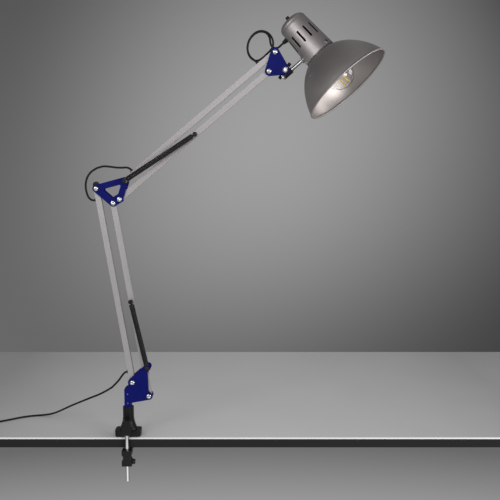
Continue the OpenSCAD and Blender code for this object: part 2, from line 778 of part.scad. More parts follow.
// Clamp
module upper_jaw() color(black) difference() {
    union() {
        translate([0, 0, pad_t])
            rounded_box(-foot_w / 2, foot_w / 2, -foot_front, foot_back, foot_r, foot_h);
        rotate_extrude() polygon(concat([[0, pad_t], [bell_d / 2, pad_t]], [
            for (k = [0 : bell_steps]) let (f = 1 - k / bell_steps)
                [collar_d / 2 + (bell_d - collar_d) / 2 * f * f, bell_top - bell_h * f]
        ], [[0, bell_top]]));
        slab(-rod_off - boss_depth / 2, boss_depth) {
            translate([-boss_w / 2, boss_low]) square([boss_w, boss_top - boss_low - boss_w / 2]);
            translate([0, boss_top - boss_w / 2]) circle(d = boss_w);
        }
        translate([-boss_w / 2, -rod_off, boss_low]) cube([boss_w, rod_off, foot_top - boss_low]);
    }
    translate([0, 0, post_z]) cylinder(d = post_hole, h = far);
    translate([0, -rod_off, rod_top - far]) cylinder(d = rod_hole, h = far);
}

module upper_jaw_pad() color(black)
    rounded_box(pad_inset - foot_w / 2, foot_w / 2 - pad_inset,
        pad_inset - foot_front, foot_back - pad_inset, foot_r - pad_inset, pad_t);

module swivel_collar() color(black) translate([0, 0, bell_top]) difference() {
    cylinder(d = collar_d, h = collar_h);
    translate([0, 0, -past]) cylinder(d = post_hole, h = far);
}

module clamp_rod() color(chrome) translate([0, -rod_off, 0]) rotate_extrude() polygon([
    [0, -rod_below], [rod_d / 2 - rod_chamfer, -rod_below], [rod_d / 2, rod_chamfer - rod_below],
    [rod_d / 2, rod_top], [0, rod_top]
]);

module lower_jaw() color(black) difference() {
    union() {
        slab(-rod_off - jaw_w / 2, jaw_w) polygon([
            [-jaw_w / 2, jaw_z], [jaw_w / 2, jaw_z],
            [jaw_w / 2, waist_low - waist_slope], [jaw_waist / 2, waist_low],
            [jaw_waist / 2, waist_top], [jaw_w / 2, waist_top + waist_slope],
            [jaw_w / 2, jaw_top], [-jaw_w / 2, jaw_top],
            [-jaw_w / 2, waist_top + waist_slope], [-jaw_waist / 2, waist_top],
            [-jaw_waist / 2, waist_low], [-jaw_w / 2, waist_low - waist_slope]
        ]);
        translate([-jaw_arm_w / 2, -rod_off, jaw_seat - jaw_arm_t])
            cube([jaw_arm_w, rod_off + jaw_pad_y, jaw_arm_t]);
        translate([0, jaw_pad_y, jaw_seat - jaw_arm_t])
            cylinder(d1 = jaw_arm_w, d2 = jaw_pad_d, h = jaw_arm_t);
    }
    translate([0, -rod_off, -far]) cylinder(d = rod_hole, h = 2 * far);
    translate([0, -rod_off, thumb_z]) rod_x(thumb_d + 2 * turn_fit, 0, far);
}

module lower_jaw_pad() color(black) translate([0, jaw_pad_y, jaw_seat])
    cylinder(d = jaw_pad_d, h = jaw_pad_t);

module thumb_screw() color(black) translate([0, -rod_off, thumb_z]) {
    rod_x(thumb_d, rod_d / 2 + thumb_tip, jaw_w / 2 + thumb_gap);
    rod_x(thumb_knob_d, jaw_w / 2 + thumb_gap, jaw_w / 2 + thumb_gap + thumb_knob_l);
}

// Post and lower bracket
cross_pins = [[0, leg_z + cross_pin_low], [0, block_top - cross_pin_high]];

module swivel_post() color(chrome) difference() {
    translate([0, 0, post_z]) cylinder(d = post_d, h = block_top - post_z);
    bores(cross_pins, cross_pin_d + 2 * turn_fit);
}

module bracket_block() color(blue) difference() {
    translate([-leg_w / 2, -plate_in, leg_z]) cube([leg_w, 2 * plate_in, block_h]);
    cylinder(d = post_hole, h = far);
    bores(cross_pins, cross_pin_d + 2 * turn_fit);
}

module lower_bracket_outline() {
    leg = leg_w / 2;
    polygon([
        [-leg, leg_z], [leg, leg_z], [leg, leg_z + leg_step],
        front_foot + polar(front_foot_rim, foot_edge), front_foot, stud, rear_foot, [-leg, block_top]
    ]);
    strap(rear_foot, stud, rear_foot_rim, stud_rim);
    strap(rear_foot, front_foot, rear_foot_rim, front_foot_rim);
}

module lower_bracket_plate(front) color(blue) difference() {
    plate(front) lower_bracket_outline();
    bores([rear_foot, front_foot], bolt_hole);
    bores(cross_pins, cross_pin_d + 2 * turn_fit);
    if (front) bores([stud], stud_d + 2 * turn_fit);
}

module lower_bracket_front() lower_bracket_plate(true);
module lower_bracket_rear() lower_bracket_plate(false);

module lower_bracket_fasteners() color(chrome) {
    bolts_and_nuts([rear_foot, front_foot]);
    for (p = cross_pins) rod_y(p, cross_pin_d, -plate_out, plate_out);
}

module lower_bracket_washers() color(nylon) washers([rear_foot, front_foot]);
module lower_spring_stud() color(black) spring_stud(stud, -plate_in);
module lower_spring() spring(stud, lower_knob, lower_curls);

// Lower arms
module rear_lower_arm() color(satin) on_arm(rear_foot, lower_dir)
    arm_tube(lower_arm_len, bolt_hole, bolt_hole, [cord_hole_at, lower_arm_len - cord_hole_at]);

module rear_arm_plugs() color(black) on_arm(rear_foot, lower_dir) {
    end_plugs(lower_arm_len, bolt_hole, bolt_hole, rear_cap_over);
    grommet(cord_hole_at);
    grommet(lower_arm_len - cord_hole_at);
}

module front_lower_arm() color(satin) on_arm(front_foot, lower_dir) difference() {
    arm_tube(lower_arm_len, bolt_hole, closing_hole, []);
    knob_hole(lower_knob_at);
}

module front_arm_plugs() color(black) on_arm(front_foot, lower_dir)
    end_plugs(lower_arm_len, bolt_hole, closing_hole, arm_side);

module lower_spring_knob() color(black) spring_stud(lower_knob, -arm_side + tube_wall);

// Elbow
elbow_pivots = [rear_elbow, front_elbow, under_elbow, top_elbow];
elbow_bands = [elbow_left_band, elbow_foot_band, elbow_band, elbow_band];

module elbow_plate(front) color(blue) difference() {
    plate(front) difference() {
        rounded(elbow_pivots, elbow_rim);
        rounded(inset(elbow_pivots, elbow_bands + [for (b = elbow_bands) elbow_hole_r]), elbow_hole_r);
    }
    bores(elbow_pivots, bolt_hole);
}

module elbow_plate_front() elbow_plate(true);
module elbow_plate_rear() elbow_plate(false);
module elbow_fasteners() color(chrome) bolts_and_nuts(elbow_pivots);
module elbow_washers() color(nylon) washers(elbow_pivots);
module upper_spring_stud() color(black) spring_stud(top_elbow, -plate_out - bolt_head_h);
module upper_spring() spring(top_elbow, upper_knob, upper_curls);

// Upper arms
module under_arm() color(satin) on_arm(under_elbow, upper_dir) difference() {
    arm_tube(upper_arm_len, bolt_hole, closing_hole, []);
    knob_hole(upper_knob_at);
}

module under_arm_plugs() color(black) on_arm(under_elbow, upper_dir)
    end_plugs(upper_arm_len, bolt_hole, closing_hole, arm_side);

module upper_spring_knob() color(black) spring_stud(upper_knob, -arm_side + tube_wall);

module top_arm() color(satin) on_arm(top_elbow, upper_dir)
    arm_tube(upper_arm_len, bolt_hole, bolt_hole, [cord_hole_at, upper_arm_len - head_cord_hole_at]);

module top_arm_plugs() color(black) on_arm(top_elbow, upper_dir) {
    end_plugs(upper_arm_len, bolt_hole, bolt_hole, arm_side);
    grommet(cord_hole_at);
    grommet(upper_arm_len - head_cord_hole_at);
}

// Head bracket and tilt joint
module head_bracket_plate(front) color(blue) difference() {
    plate(front) rounded([under_head, tilt, top_head], head_rim);
    bores([under_head, tilt, top_head], bolt_hole);
}

module head_bracket_front() head_bracket_plate(true);
module head_bracket_rear() head_bracket_plate(false);
module head_bracket_fasteners() color(chrome) bolts_and_nuts([under_head, top_head]);
module head_bracket_washers() color(nylon) washers([under_head, top_head]);

module on_bar() translate([tilt.x, bar_y, tilt.y]) rotate([0, -bar_slope, 0]) children();

module tilt_screw() color(chrome) difference() {
    union() {
        rod_y(tilt, bolt_d, -plate_out - knuckle_gap, plate_out + tilt_collar_l);
        pan_head(tilt, -plate_out - knuckle_gap, tilt_head_d, bolt_head_h);
        rod_y(tilt, tilt_collar_d, plate_out + knuckle_gap, plate_out + tilt_collar_l);
    }
    on_bar() rod_x(bar_d + 2 * turn_fit, -far, far);
}

module tilt_bar() color(chrome) on_bar()
    rod_x(bar_d, bar_tip_l - tip_depth - bar_l / 2, bar_l / 2 - bar_tip_l + tip_depth);

module tilt_bar_tips() color(black) on_bar() for (side = [0, 1]) mirror([side, 0, 0]) difference() {
    rod_x(bar_tip_d, bar_l / 2 - bar_tip_l, bar_l / 2);
    rod_x(bar_d + 2 * turn_fit, 0, bar_l / 2 - bar_tip_l + tip_depth);
}

module on_stem() translate([head_origin.x, 0, head_origin.y]) rotate([0, head_pitch, 0]) children();

module tilt_knuckle() color(black) difference() {
    union() {
        rod_y(tilt, 2 * knuckle_r, -knuckle_y, knuckle_y);
        on_stem() rod_x(knuckle_boss_d, boss_near, boss_far);
    }
    bores([tilt], bolt_hole);
    on_stem() rod_x(stem_hole, 0, far);
}

// Head
module on_head() on_stem() rotate([head_turn, 0, 0]) children();

cup_in = cup_r(0) - cup_wall;
stem_nut_d = stem_nut_af / cos(30);
stem_nut_in = sqrt(cup_in * cup_in - stem_nut_d * stem_nut_d / 4) - nut_gap;
stem_nut_out = cup_r(stem_nut_d / 2) + nut_gap;
stem_nut_end = boss_far + nut_gap;
stem_shoulder = 2;

module head_stem() color(chrome) on_head() {
    rod_x(stem_d, stem_nut_in - stem_nut_h - stem_tail, stem_nut_end + stem_nut_h + stem_tail);
    rod_x(stem_d + stem_shoulder, boss_near - nut_gap - stem_shoulder, boss_near - nut_gap);
}

module stem_nut(x) difference() {
    translate([x, 0, 0]) rotate([0, 90, 0]) cylinder(d = stem_nut_d, h = stem_nut_h, $fn = 6);
    rod_x(stem_hole, 0, far);
}

module stem_nuts() color(chrome) on_head() {
    stem_nut(stem_nut_in - stem_nut_h);
    stem_nut(stem_nut_out);
    stem_nut(stem_nut_end);
}

module shade_screw_places() for (k = [0 : shade_screws_n - 1])
    rotate([0, 0, shade_screw_turn + 360 * k / shade_screws_n]) translate([0, 0, shade_screw_at]) children();

module vent() translate([cup_in / 2, -vent_w / 2, -vent_at - vent_l]) cube([cup_in, vent_w, vent_l]);

module cup() color(nickel) on_head() difference() {
    rotate_extrude() polygon([
        [cap_r - cup_wall, -cup_back], [cap_r, -cup_back],
        [cup_r(cup_front), cup_front], [cup_r(cup_front) - cup_wall, cup_front]
    ]);
    for (k = [0 : vents - 1]) rotate([0, 0, vent_turn + 360 * k / vents]) vent();
    rod_x(stem_hole, 0, far);
    translate([0, 0, -gland_at]) rod_x(gland_neck_d + 2 * turn_fit, 0, far);
    shade_screw_places() rod_x(shade_screw_hole, 0, far);
}

module cup_cap() {
    seat = cap_r - cup_wall - skirt_fit;
    wall = 2 * cup_wall + skirt_fit;
    middle = cap_r - cap_corner;
    color(nickel) on_head() rotate_extrude() polygon(concat(
        [[seat, -cup_back], [cap_r, -cup_back]],
        [for (k = [1 : cap_steps]) let (a = 90 * k / cap_steps)
            [middle + cap_corner * cos(a), -cup_back - cap_h * sin(a)]],
        [[switch_hole / 2, -cup_back - cap_h], [switch_hole / 2, -cup_back - cap_h + cup_wall]],
        [for (k = [cap_steps : -1 : 0]) let (a = 90 * k / cap_steps)
            [middle + (cap_corner - wall) * cos(a), -cup_back - (cap_h - cup_wall) * sin(a)]],
        [[cap_r - wall, cap_skirt - cup_back], [seat, cap_skirt - cup_back]]
    ));
}

function shade_arc(r, h, first, last) =
    [for (k = [1 : shade_steps]) let (a = first + (last - first) * k / shade_steps)
        [r * cos(a), dome_z - h * sin(a)]];
function back_to_front(list) = [for (k = [len(list) - 1 : -1 : 0]) list[k]];

module shade() {
    inner_r = dome_r - shade_wall;
    inner_h = dome_h - shade_wall;
    inner_first = asin((dome_z - rim_at) / inner_h);
    inner_last = acos((sleeve_r - shade_wall) / inner_r);
    color(nickel) on_head() difference() {
        rotate_extrude() polygon(concat(
            shade_arc(dome_r, dome_h, rim_end, sleeve_end),
            [[sleeve_r, sleeve_at], [sleeve_r - shade_wall, sleeve_at]],
            back_to_front(shade_arc(inner_r, inner_h, inner_first, inner_last)),
            [for (k = [0 : bead_steps]) [shade_d / 2 - bead_d / 2, rim_at]
                + polar(bead_d / 2, 270 - bead_open - (360 - 2 * bead_open) * k / bead_steps)]
        ));
        shade_screw_places() rod_x(shade_screw_hole, 0, cup_mouth_d / 2);
    }
}

module shade_screws() {
    seat = cup_r(shade_screw_at + shade_screw_head_d / 2) + turn_fit;
    color(chrome) on_head() shade_screw_places() {
        rod_x(shade_screw_d, seat - shade_screw_l, seat);
        rod_x(shade_screw_head_d, seat, seat + shade_screw_head_h);
    }
}

// Lampholder and bulb
module lampholder() {
    flange_r = cup_r(-holder_back) - cup_wall - flange_fit;
    bore = socket_d / 2 + socket_fit;
    color(ceramic) on_head() rotate_extrude() polygon([
        [0, -holder_back], [flange_r, -holder_back], [flange_r, flange_t - holder_back],
        [holder_d / 2, flange_t - holder_back], [holder_d / 2, holder_front], [bore, holder_front],
        [bore, socket_floor], [0, socket_floor]
    ]);
}

module socket_shell() color(brass) on_head() rotate_extrude() polygon([
    [0, socket_floor], [socket_d / 2, socket_floor], [socket_d / 2, holder_front],
    [socket_d / 2 - socket_wall, holder_front], [socket_d / 2 - socket_wall, socket_floor + socket_wall],
    [0, socket_floor + socket_wall]
]);

function bulb_arc(r) =
    [for (k = [0 : bulb_steps]) let (a = bulb_end * k / bulb_steps) [r * sin(a), bulb_at + r * cos(a)]];

module bulb_glass() color(glass) on_head() rotate_extrude() polygon(concat(
    bulb_arc(bulb_r), [[neck_r, glass_z], [neck_r - glass_wall, glass_z]],
    back_to_front(bulb_arc(bulb_r - glass_wall))
));

module bulb_base() {
    thread_z = base_z + 2 * contact_h;
    pitch = (base_l - 3 * contact_h) / (2 * base_turns);
    color(chrome) on_head() rotate_extrude() polygon(concat(
        [[0, base_z], [contact_r, base_z], [contact_r, base_z + contact_h]],
        [for (k = [0 : 2 * base_turns]) [base_d / 2 - base_thread * (1 - k % 2), thread_z + k * pitch]],
        [[base_d / 2, glass_z], [0, glass_z]]
    ));
}

module bulb_filaments() color(gold) on_head() {
    translate([0, 0, glass_z]) cylinder(d1 = glass_stem_d, d2 = filament_d, h = filament_z - glass_z);
    translate([0, 0, filament_z]) cylinder(d = filament_d / 2, h = filament_l);
    for (k = [0 : filaments - 1]) rotate([0, 0, 45 + 360 * k / filaments]) {
        for (z = [filament_z, filament_z + filament_l])
            translate([0, 0, z]) rod_x(filament_d / 2, 0, filament_ring_d / 2);
        translate([filament_ring_d / 2, 0, filament_z - filament_d / 2])
            cylinder(d = filament_d, h = filament_l + filament_d);
    }
}

// Gland and switch
module cord_gland() {
    inner_r = cup_r(-gland_at - gland_d / 2) - cup_wall;
    inner = sqrt(inner_r * inner_r - gland_d * gland_d / 4);
    color(black) on_head() translate([0, 0, -gland_at]) {
        rod_x(gland_neck_d, inner - gland_nut_h, gland_seat);
        rod_x(gland_d, inner - gland_nut_h, inner);
        translate([gland_seat, 0, 0]) rotate([0, 90, 0])
            cylinder(d1 = gland_d, d2 = gland_tip_d, h = gland_l);
    }
}

module switch_body() color(chrome) on_head() rotate_extrude() polygon([
    [button_hole / 2, switch_z - bezel_h], [switch_d / 2 + bezel_rim, switch_z - bezel_h],
    [switch_d / 2 + bezel_rim, switch_z], [switch_d / 2, switch_z], [switch_d / 2, switch_z + switch_l],
    [0, switch_z + switch_l], [0, switch_z + switch_l - switch_floor],
    [button_hole / 2, switch_z + switch_l - switch_floor]
]);

module switch_button() color(black) on_head() translate([0, 0, button_end])
    cylinder(d = button_d, h = button_l);

// Cord
module elbow_cord_loop() color(black) tube(elbow_route, cord_d, cord_sides);
module head_cord_loop() color(black) tube(head_route, cord_d, cord_sides);
module power_cord() color(black) tube(spline(lead_route, lead_steps), cord_d, cord_sides);

function climbs(t) =
    [for (k = [1 : coil_layers - 1]) max(0, min(1, (t - k * layer_turns) / climb_turns + 0.5))]
    * [for (k = [1 : coil_layers - 1]) 1];
function coil_point(t) =
    let (layer = floor(t / layer_turns), f = t / layer_turns - layer, inward = layer % 2 == 0 ? f : 1 - f)
    let (r = coil_r - coil_step * layer_turns * inward, a = coil_start + 360 * t)
    [coil_x + r * cos(a), coil_y + r * sin(a), cord_r + coil_step * climbs(t)];

module cord_coil() {
    lead_end = lead_route[len(lead_route) - 1];
    path = concat(
        [lead_end - [cord_gap, 0, 0], lead_end - [cord_d, 0, 0]],
        [for (i = [0 : coil_loops * loop_rings]) coil_point(i / loop_rings)],
        tail_route,
        [plug_at - [0, cord_d, 0], plug_at - [0, cord_gap, 0]]
    );
    echo(least_gap = least_gap(path, loop_rings / 2, cord_d));
    color(black) tube(path, cord_d, loop_sides);
}

module on_plug() translate(plug_at) children();

module plug_pin_bars(d, y0) for (side = [-1, 1])
    translate([side * plug_pin_gap / 2, y0, 0]) rotate([-90, 0, 0])
        cylinder(d = d, h = plug_pin_hold + plug_pin_l);

module plug_body() {
    half = plug_w / 2 - plug_corner;
    foot = plug_neck_d / 2;
    color(black) on_plug() difference() {
        union() {
            rotate([-90, 0, 0]) cylinder(d1 = cord_d + 2, d2 = plug_neck_d, h = plug_neck_l + plug_corner);
            translate([0, plug_neck_l, -plug_t / 2]) linear_extrude(plug_t) rounded([
                [-foot, plug_corner], [foot, plug_corner],
                [half, plug_shoulder], [half, plug_l - plug_corner],
                [-half, plug_l - plug_corner], [-half, plug_shoulder]
            ], plug_corner);
        }
        plug_pin_bars(plug_pin_d + 2 * turn_fit, plug_neck_l + plug_l - plug_pin_hold);
    }
}

module plug_pins() color(chrome) on_plug() plug_pin_bars(plug_pin_d, plug_neck_l + plug_l - plug_pin_hold);

upper_jaw();
upper_jaw_pad();
swivel_collar();
clamp_rod();
lower_jaw();
lower_jaw_pad();
thumb_screw();
swivel_post();
bracket_block();
lower_bracket_front();
lower_bracket_rear();
lower_bracket_fasteners();
lower_bracket_washers();
lower_spring_stud();
lower_spring();
rear_lower_arm();
rear_arm_plugs();
front_lower_arm();
front_arm_plugs();
lower_spring_knob();
elbow_plate_front();
elbow_plate_rear();
elbow_fasteners();
elbow_washers();
upper_spring_stud();
upper_spring();
under_arm();
under_arm_plugs();
upper_spring_knob();
top_arm();
top_arm_plugs();
head_bracket_front();
head_bracket_rear();
head_bracket_fasteners();
head_bracket_washers();
tilt_screw();
tilt_bar();
tilt_bar_tips();
tilt_knuckle();
head_stem();
stem_nuts();
cup();
cup_cap();
shade();
shade_screws();
lampholder();
socket_shell();
bulb_glass();
bulb_base();
bulb_filaments();
cord_gland();
switch_body();
switch_button();
elbow_cord_loop();
head_cord_loop();
power_cord();
cord_coil();
plug_body();
plug_pins();
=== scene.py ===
"""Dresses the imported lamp: camera, materials, cords, springs, head, fasteners, then stage and light."""
import json
import math

import bmesh
import bpy
from mathutils import Matrix, Vector

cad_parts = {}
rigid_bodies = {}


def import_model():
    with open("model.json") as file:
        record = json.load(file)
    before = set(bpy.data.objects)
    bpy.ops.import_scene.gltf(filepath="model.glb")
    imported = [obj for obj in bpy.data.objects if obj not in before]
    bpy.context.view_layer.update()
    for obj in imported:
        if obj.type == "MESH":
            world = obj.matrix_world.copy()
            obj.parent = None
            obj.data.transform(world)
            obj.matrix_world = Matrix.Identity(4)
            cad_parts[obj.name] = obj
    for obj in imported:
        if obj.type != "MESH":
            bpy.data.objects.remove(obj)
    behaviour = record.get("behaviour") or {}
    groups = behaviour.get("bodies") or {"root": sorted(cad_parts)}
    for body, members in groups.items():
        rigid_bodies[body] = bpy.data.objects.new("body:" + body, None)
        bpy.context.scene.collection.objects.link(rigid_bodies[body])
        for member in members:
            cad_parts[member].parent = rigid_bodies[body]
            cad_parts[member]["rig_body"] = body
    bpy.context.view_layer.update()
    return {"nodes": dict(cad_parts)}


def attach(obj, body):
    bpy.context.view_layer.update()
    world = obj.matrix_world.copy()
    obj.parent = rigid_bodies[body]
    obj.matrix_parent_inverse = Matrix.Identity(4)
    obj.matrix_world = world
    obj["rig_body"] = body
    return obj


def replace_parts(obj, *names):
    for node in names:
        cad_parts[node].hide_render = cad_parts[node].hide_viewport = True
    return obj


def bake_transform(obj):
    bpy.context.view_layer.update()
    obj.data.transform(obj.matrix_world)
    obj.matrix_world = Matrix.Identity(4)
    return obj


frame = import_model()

cad = frame["nodes"]
scene = bpy.context.scene
MM = 0.001


# Geometry helpers. Lengths are in millimetres and become metres in the mesh.
def point(*p):
    return Vector(p) * MM


def polar(r, a):
    """A step of r at the angle a, in degrees, in the plane of the arms."""
    return Vector((r * math.cos(math.radians(a)), 0, r * math.sin(math.radians(a))))


def new_object(name, mesh, matrix=None):
    obj = bpy.data.objects.new(name, mesh)
    scene.collection.objects.link(obj)
    if matrix is not None:
        obj.matrix_world = matrix
    return obj


def new_mesh(name, verts, faces, sharp=40):
    mesh = bpy.data.meshes.new(name)
    mesh.from_pydata([Vector(v) * MM for v in verts], [], faces)
    clean = bmesh.new()
    clean.from_mesh(mesh)
    bmesh.ops.recalc_face_normals(clean, faces=clean.faces)
    clean.to_mesh(mesh)
    clean.free()
    mesh.polygons.foreach_set("use_smooth", [True] * len(mesh.polygons))
    mesh.set_sharp_from_angle(angle=math.radians(sharp))
    return mesh


def spline(points, steps):
    """A smooth line through the points, with that many steps between two of them."""
    p = [Vector(q) for q in points]
    p = [2 * p[0] - p[1]] + p + [2 * p[-1] - p[-2]]
    line = []
    for a, b, c, d in zip(p, p[1:], p[2:], p[3:]):
        for k in range(steps):
            t = k / steps
            line.append(0.5 * (2 * b + (c - a) * t + (2 * a - 5 * b + 4 * c - d) * t ** 2
                               + (3 * b - a - 3 * c + d) * t ** 3))
    return line + [p[-2]]


def sweep(path, r, sides):
    """Vertices and faces of a closed round tube along the path."""
    n = len(path)
    heads = [(path[min(i + 1, n - 1)] - path[max(i - 1, 0)]).normalized() for i in range(n)]
    side = heads[0].cross(Vector((0, 0, 1)) if abs(heads[0].z) < 0.9 else Vector((1, 0, 0))).normalized()
    verts, faces = [], []
    for p, t in zip(path, heads):
        side = (side - side.dot(t) * t).normalized()
        up = t.cross(side)
        for k in range(sides):
            a = 2 * math.pi * k / sides
            verts.append(p + r * (side * math.cos(a) + up * math.sin(a)))
    for i in range(n - 1):
        for k in range(sides):
            j = (k + 1) % sides
            faces.append((i * sides + k, i * sides + j, (i + 1) * sides + j, (i + 1) * sides + k))
    faces += [tuple(range(sides))[::-1], tuple(range((n - 1) * sides, n * sides))]
    return verts, faces


def tube(name, path, r, sides):
    return new_object(name, new_mesh(name, *sweep([Vector(p) for p in path], r, sides), sharp=60))


def revolve(profile, n, closed=False):
    """Vertices and faces of a turned form.

    A profile point is (r, z), or (r, z, 1) where the ring has six flats.
    """
    half = math.pi / 6
    verts, faces, rings = [], [], []
    for spec in profile:
        r, z = spec[:2]
        if r < 1e-6:
            rings.append([len(verts)])
            verts.append((0, 0, z))
            continue
        ring = []
        for k in range(n):
            a = 2 * math.pi * k / n
            grow = 1 / math.cos((a + half) % (2 * half) - half) if len(spec) > 2 else 1
            ring.append(len(verts))
            verts.append((r * grow * math.cos(a), r * grow * math.sin(a), z))
        rings.append(ring)
    pairs = list(zip(rings, rings[1:])) + ([(rings[-1], rings[0])] if closed else [])
    for a, b in pairs:
        for k in range(n):
            j = (k + 1) % n
            if len(a) == 1 and len(b) == 1:
                continue
            if len(a) == 1:
                faces.append((a[0], b[k], b[j]))
            elif len(b) == 1:
                faces.append((a[k], a[j], b[0]))
            else:
                faces.append((a[k], a[j], b[j], b[k]))
    return verts, faces


def moved(form, matrix):
    verts, faces = form
    return [matrix @ Vector(v) for v in verts], faces


def joined(forms):
    verts, faces = [], []
    for v, f in forms:
        faces += [tuple(i + len(verts) for i in face) for face in f]
        verts += [Vector(p) for p in v]
    return verts, faces


def arc(cx, cz, r, first, last, steps):
    return [(cx + r * math.cos(math.radians(first + (last - first) * k / steps)),
             cz + r * math.sin(math.radians(first + (last - first) * k / steps))) for k in range(steps + 1)]


# Places on the lamp, as in the part's source. Angles are in degrees.
LOWER_ANGLE, UPPER_ANGLE = 99.4, 40.1
LOWER_LENGTH, UPPER_LENGTH = 357, 346
LOWER_KNOB_AT, UPPER_KNOB_AT = 178, 176.6
REAR_FOOT = Vector((9, 0, 100))
FRONT_FOOT = Vector((38.5, 0, 74.5))
REAR_ELBOW = REAR_FOOT + polar(LOWER_LENGTH, LOWER_ANGLE)
FRONT_ELBOW = FRONT_FOOT + polar(LOWER_LENGTH, LOWER_ANGLE)
UNDER_ELBOW = REAR_ELBOW + Vector((40.85, 0, -18.85))
TOP_ELBOW = UNDER_ELBOW + Vector((10.3, 0, 32.6))
UNDER_HEAD = UNDER_ELBOW + polar(UPPER_LENGTH, UPPER_ANGLE)
TOP_HEAD = TOP_ELBOW + polar(UPPER_LENGTH, UPPER_ANGLE)
STUD = Vector((37, 0, 128))
LOWER_KNOB = FRONT_FOOT + polar(LOWER_KNOB_AT, LOWER_ANGLE)
UPPER_KNOB = UNDER_ELBOW + polar(UPPER_KNOB_AT, UPPER_ANGLE)
HEAD_ORIGIN = Vector((336.849, 0, 695.248))
HEAD_DOWN, HEAD_TURN = 138.6, 13.75
HEAD = (Matrix.Translation(HEAD_ORIGIN) @ Matrix.Rotation(math.radians(HEAD_DOWN), 4, "Y")
        @ Matrix.Rotation(math.radians(HEAD_TURN), 4, "X"))
HEAD_PLACE = Matrix.Translation(HEAD_ORIGIN * MM) @ HEAD.to_3x3().to_4x4()
CORD_R = 1.8
GROMMET_TOP = 6.55
# From a cord's hole in an arm to the pivot next to it
CORD_HOLE, HEAD_CORD_HOLE = 20, 35


def arm_point(pivot, angle, x):
    """The top of a cord's grommet, x along an arm from its pivot."""
    return pivot + polar(x, angle) + polar(GROMMET_TOP, angle + 90)


# Camera at the photograph's viewing angle
LOOK_DOWN = 6.85
lens = bpy.data.cameras.new("camera")
lens.sensor_width = 36
lens.lens = 60.67
lens.clip_end = 50
camera = bpy.data.objects.new("camera", lens)
camera.location = point(223, -1500, 522)
camera.rotation_euler = (math.radians(90 - LOOK_DOWN), 0, 0)
scene.collection.objects.link(camera)
scene.camera = camera
scene.view_settings.view_transform = "Standard"


# Materials
MATERIALS = {}


class Graph:
    """The node tree of a material or a world, built a node at a time."""
    def __init__(self, owner):
        owner.use_nodes = True
        self.tree = owner.node_tree
        self.tree.nodes.clear()

    def add(self, kind, inputs=None, **settings):
        node = self.tree.nodes.new(kind)
        for key, value in settings.items():
            setattr(node, key, value)
        for key, value in (inputs or {}).items():
            if isinstance(value, bpy.types.NodeSocket):
                self.tree.links.new(value, node.inputs[key])
            else:
                node.inputs[key].default_value = value
        return node

    def noise(self, vector, scale, detail=3, rough=0.55):
        return self.add("ShaderNodeTexNoise", {"Vector": vector, "Scale": scale, "Detail": detail,
                                               "Roughness": rough}).outputs["Fac"]

    def ramp(self, fac, stops):
        node = self.add("ShaderNodeValToRGB", {"Fac": fac})
        while len(node.color_ramp.elements) < len(stops):
            node.color_ramp.elements.new(1)
        for element, (at, color) in zip(node.color_ramp.elements, stops):
            element.position = at
            element.color = (*color, 1)
        return node.outputs["Color"]

    def span(self, value, low, high, to_low, to_high):
        """The value's range from low to high, taken to the range from to_low to to_high."""
        return self.add("ShaderNodeMapRange", {"Value": value, "From Min": low, "From Max": high,
                                               "To Min": to_low, "To Max": to_high}).outputs["Result"]

    def math(self, operation, a, b):
        node = self.add("ShaderNodeMath", operation=operation)
        for socket, value in zip(node.inputs, (a, b)):
            if isinstance(value, bpy.types.NodeSocket):
                self.tree.links.new(value, socket)
            else:
                socket.default_value = value
        return node.outputs[0]


def shade_of(color, factor):
    return tuple(min(1, c * factor) for c in color)


def finish(name, color, rough, metallic=0.0, grain=900, stretch=(1, 1, 1), turn=0.0, vary=0.1, spread=0.06,
           bump=0.06, depth=0.1, patch=45, spun=0.0, fade=None, **fixed):
    """A material whose colour, roughness and bump vary with a grain and with broader patches."""
    mat = bpy.data.materials.new(name)
    g = Graph(mat)
    coords = g.add("ShaderNodeTexCoord").outputs["Object"]
    lie = g.add("ShaderNodeMapping", {"Vector": coords, "Rotation": (0, -math.radians(turn), 0),
                                      "Scale": stretch}, vector_type="TEXTURE").outputs["Vector"]
    fine = g.noise(lie, grain, 4, 0.6)
    broad = g.noise(coords, patch, 3)
    fine_share, broad_share = 0.55, 0.45
    both = g.math("ADD", g.math("MULTIPLY", fine, fine_share), g.math("MULTIPLY", broad, broad_share))
    low, high = 0.32, 0.68
    tint = g.ramp(both, [(low, shade_of(color, 1 - vary)), (0.5, color), (high, shade_of(color, 1 + vary))])
    # The optional fade scales the colour; only the table top uses it, for its painted light.
    if fade:
        scaled = g.add("ShaderNodeVectorMath", {0: tint}, operation="SCALE")
        g.tree.links.new(fade(g, coords), scaled.inputs["Scale"])
        tint = scaled.outputs["Vector"]
    gloss = g.span(both, low, high, max(0.02, rough - spread), rough + spread)
    relief = g.add("ShaderNodeBump", {"Height": fine, "Strength": bump, "Distance": depth * MM})
    shader = g.add("ShaderNodeBsdfPrincipled", {"Base Color": tint, "Roughness": gloss, "Metallic": metallic,
                                                "Normal": relief.outputs["Normal"], **fixed})
    if spun:
        around = g.add("ShaderNodeTangent", direction_type="RADIAL", axis="Z").outputs["Tangent"]
        g.tree.links.new(around, shader.inputs["Tangent"])
        shader.inputs["Anisotropic"].default_value = spun
    g.add("ShaderNodeOutputMaterial", {"Surface": shader.outputs["BSDF"]})
    MATERIALS[name] = mat
    return mat


def glass(name):
    """Clear glass with a little dust in its gloss."""
    mat = bpy.data.materials.new(name)
    g = Graph(mat)
    coords = g.add("ShaderNodeTexCoord").outputs["Object"]
    dust = g.noise(coords, 160, 3)
    shader = g.add("ShaderNodeBsdfPrincipled", {
        "Base Color": (0.97, 0.98, 0.98, 1), "Roughness": g.span(dust, 0.35, 0.75, 0.0, 0.035),
        "IOR": 1.47, "Transmission Weight": 1.0})
    g.add("ShaderNodeOutputMaterial", {"Surface": shader.outputs["BSDF"]})
    MATERIALS[name] = mat


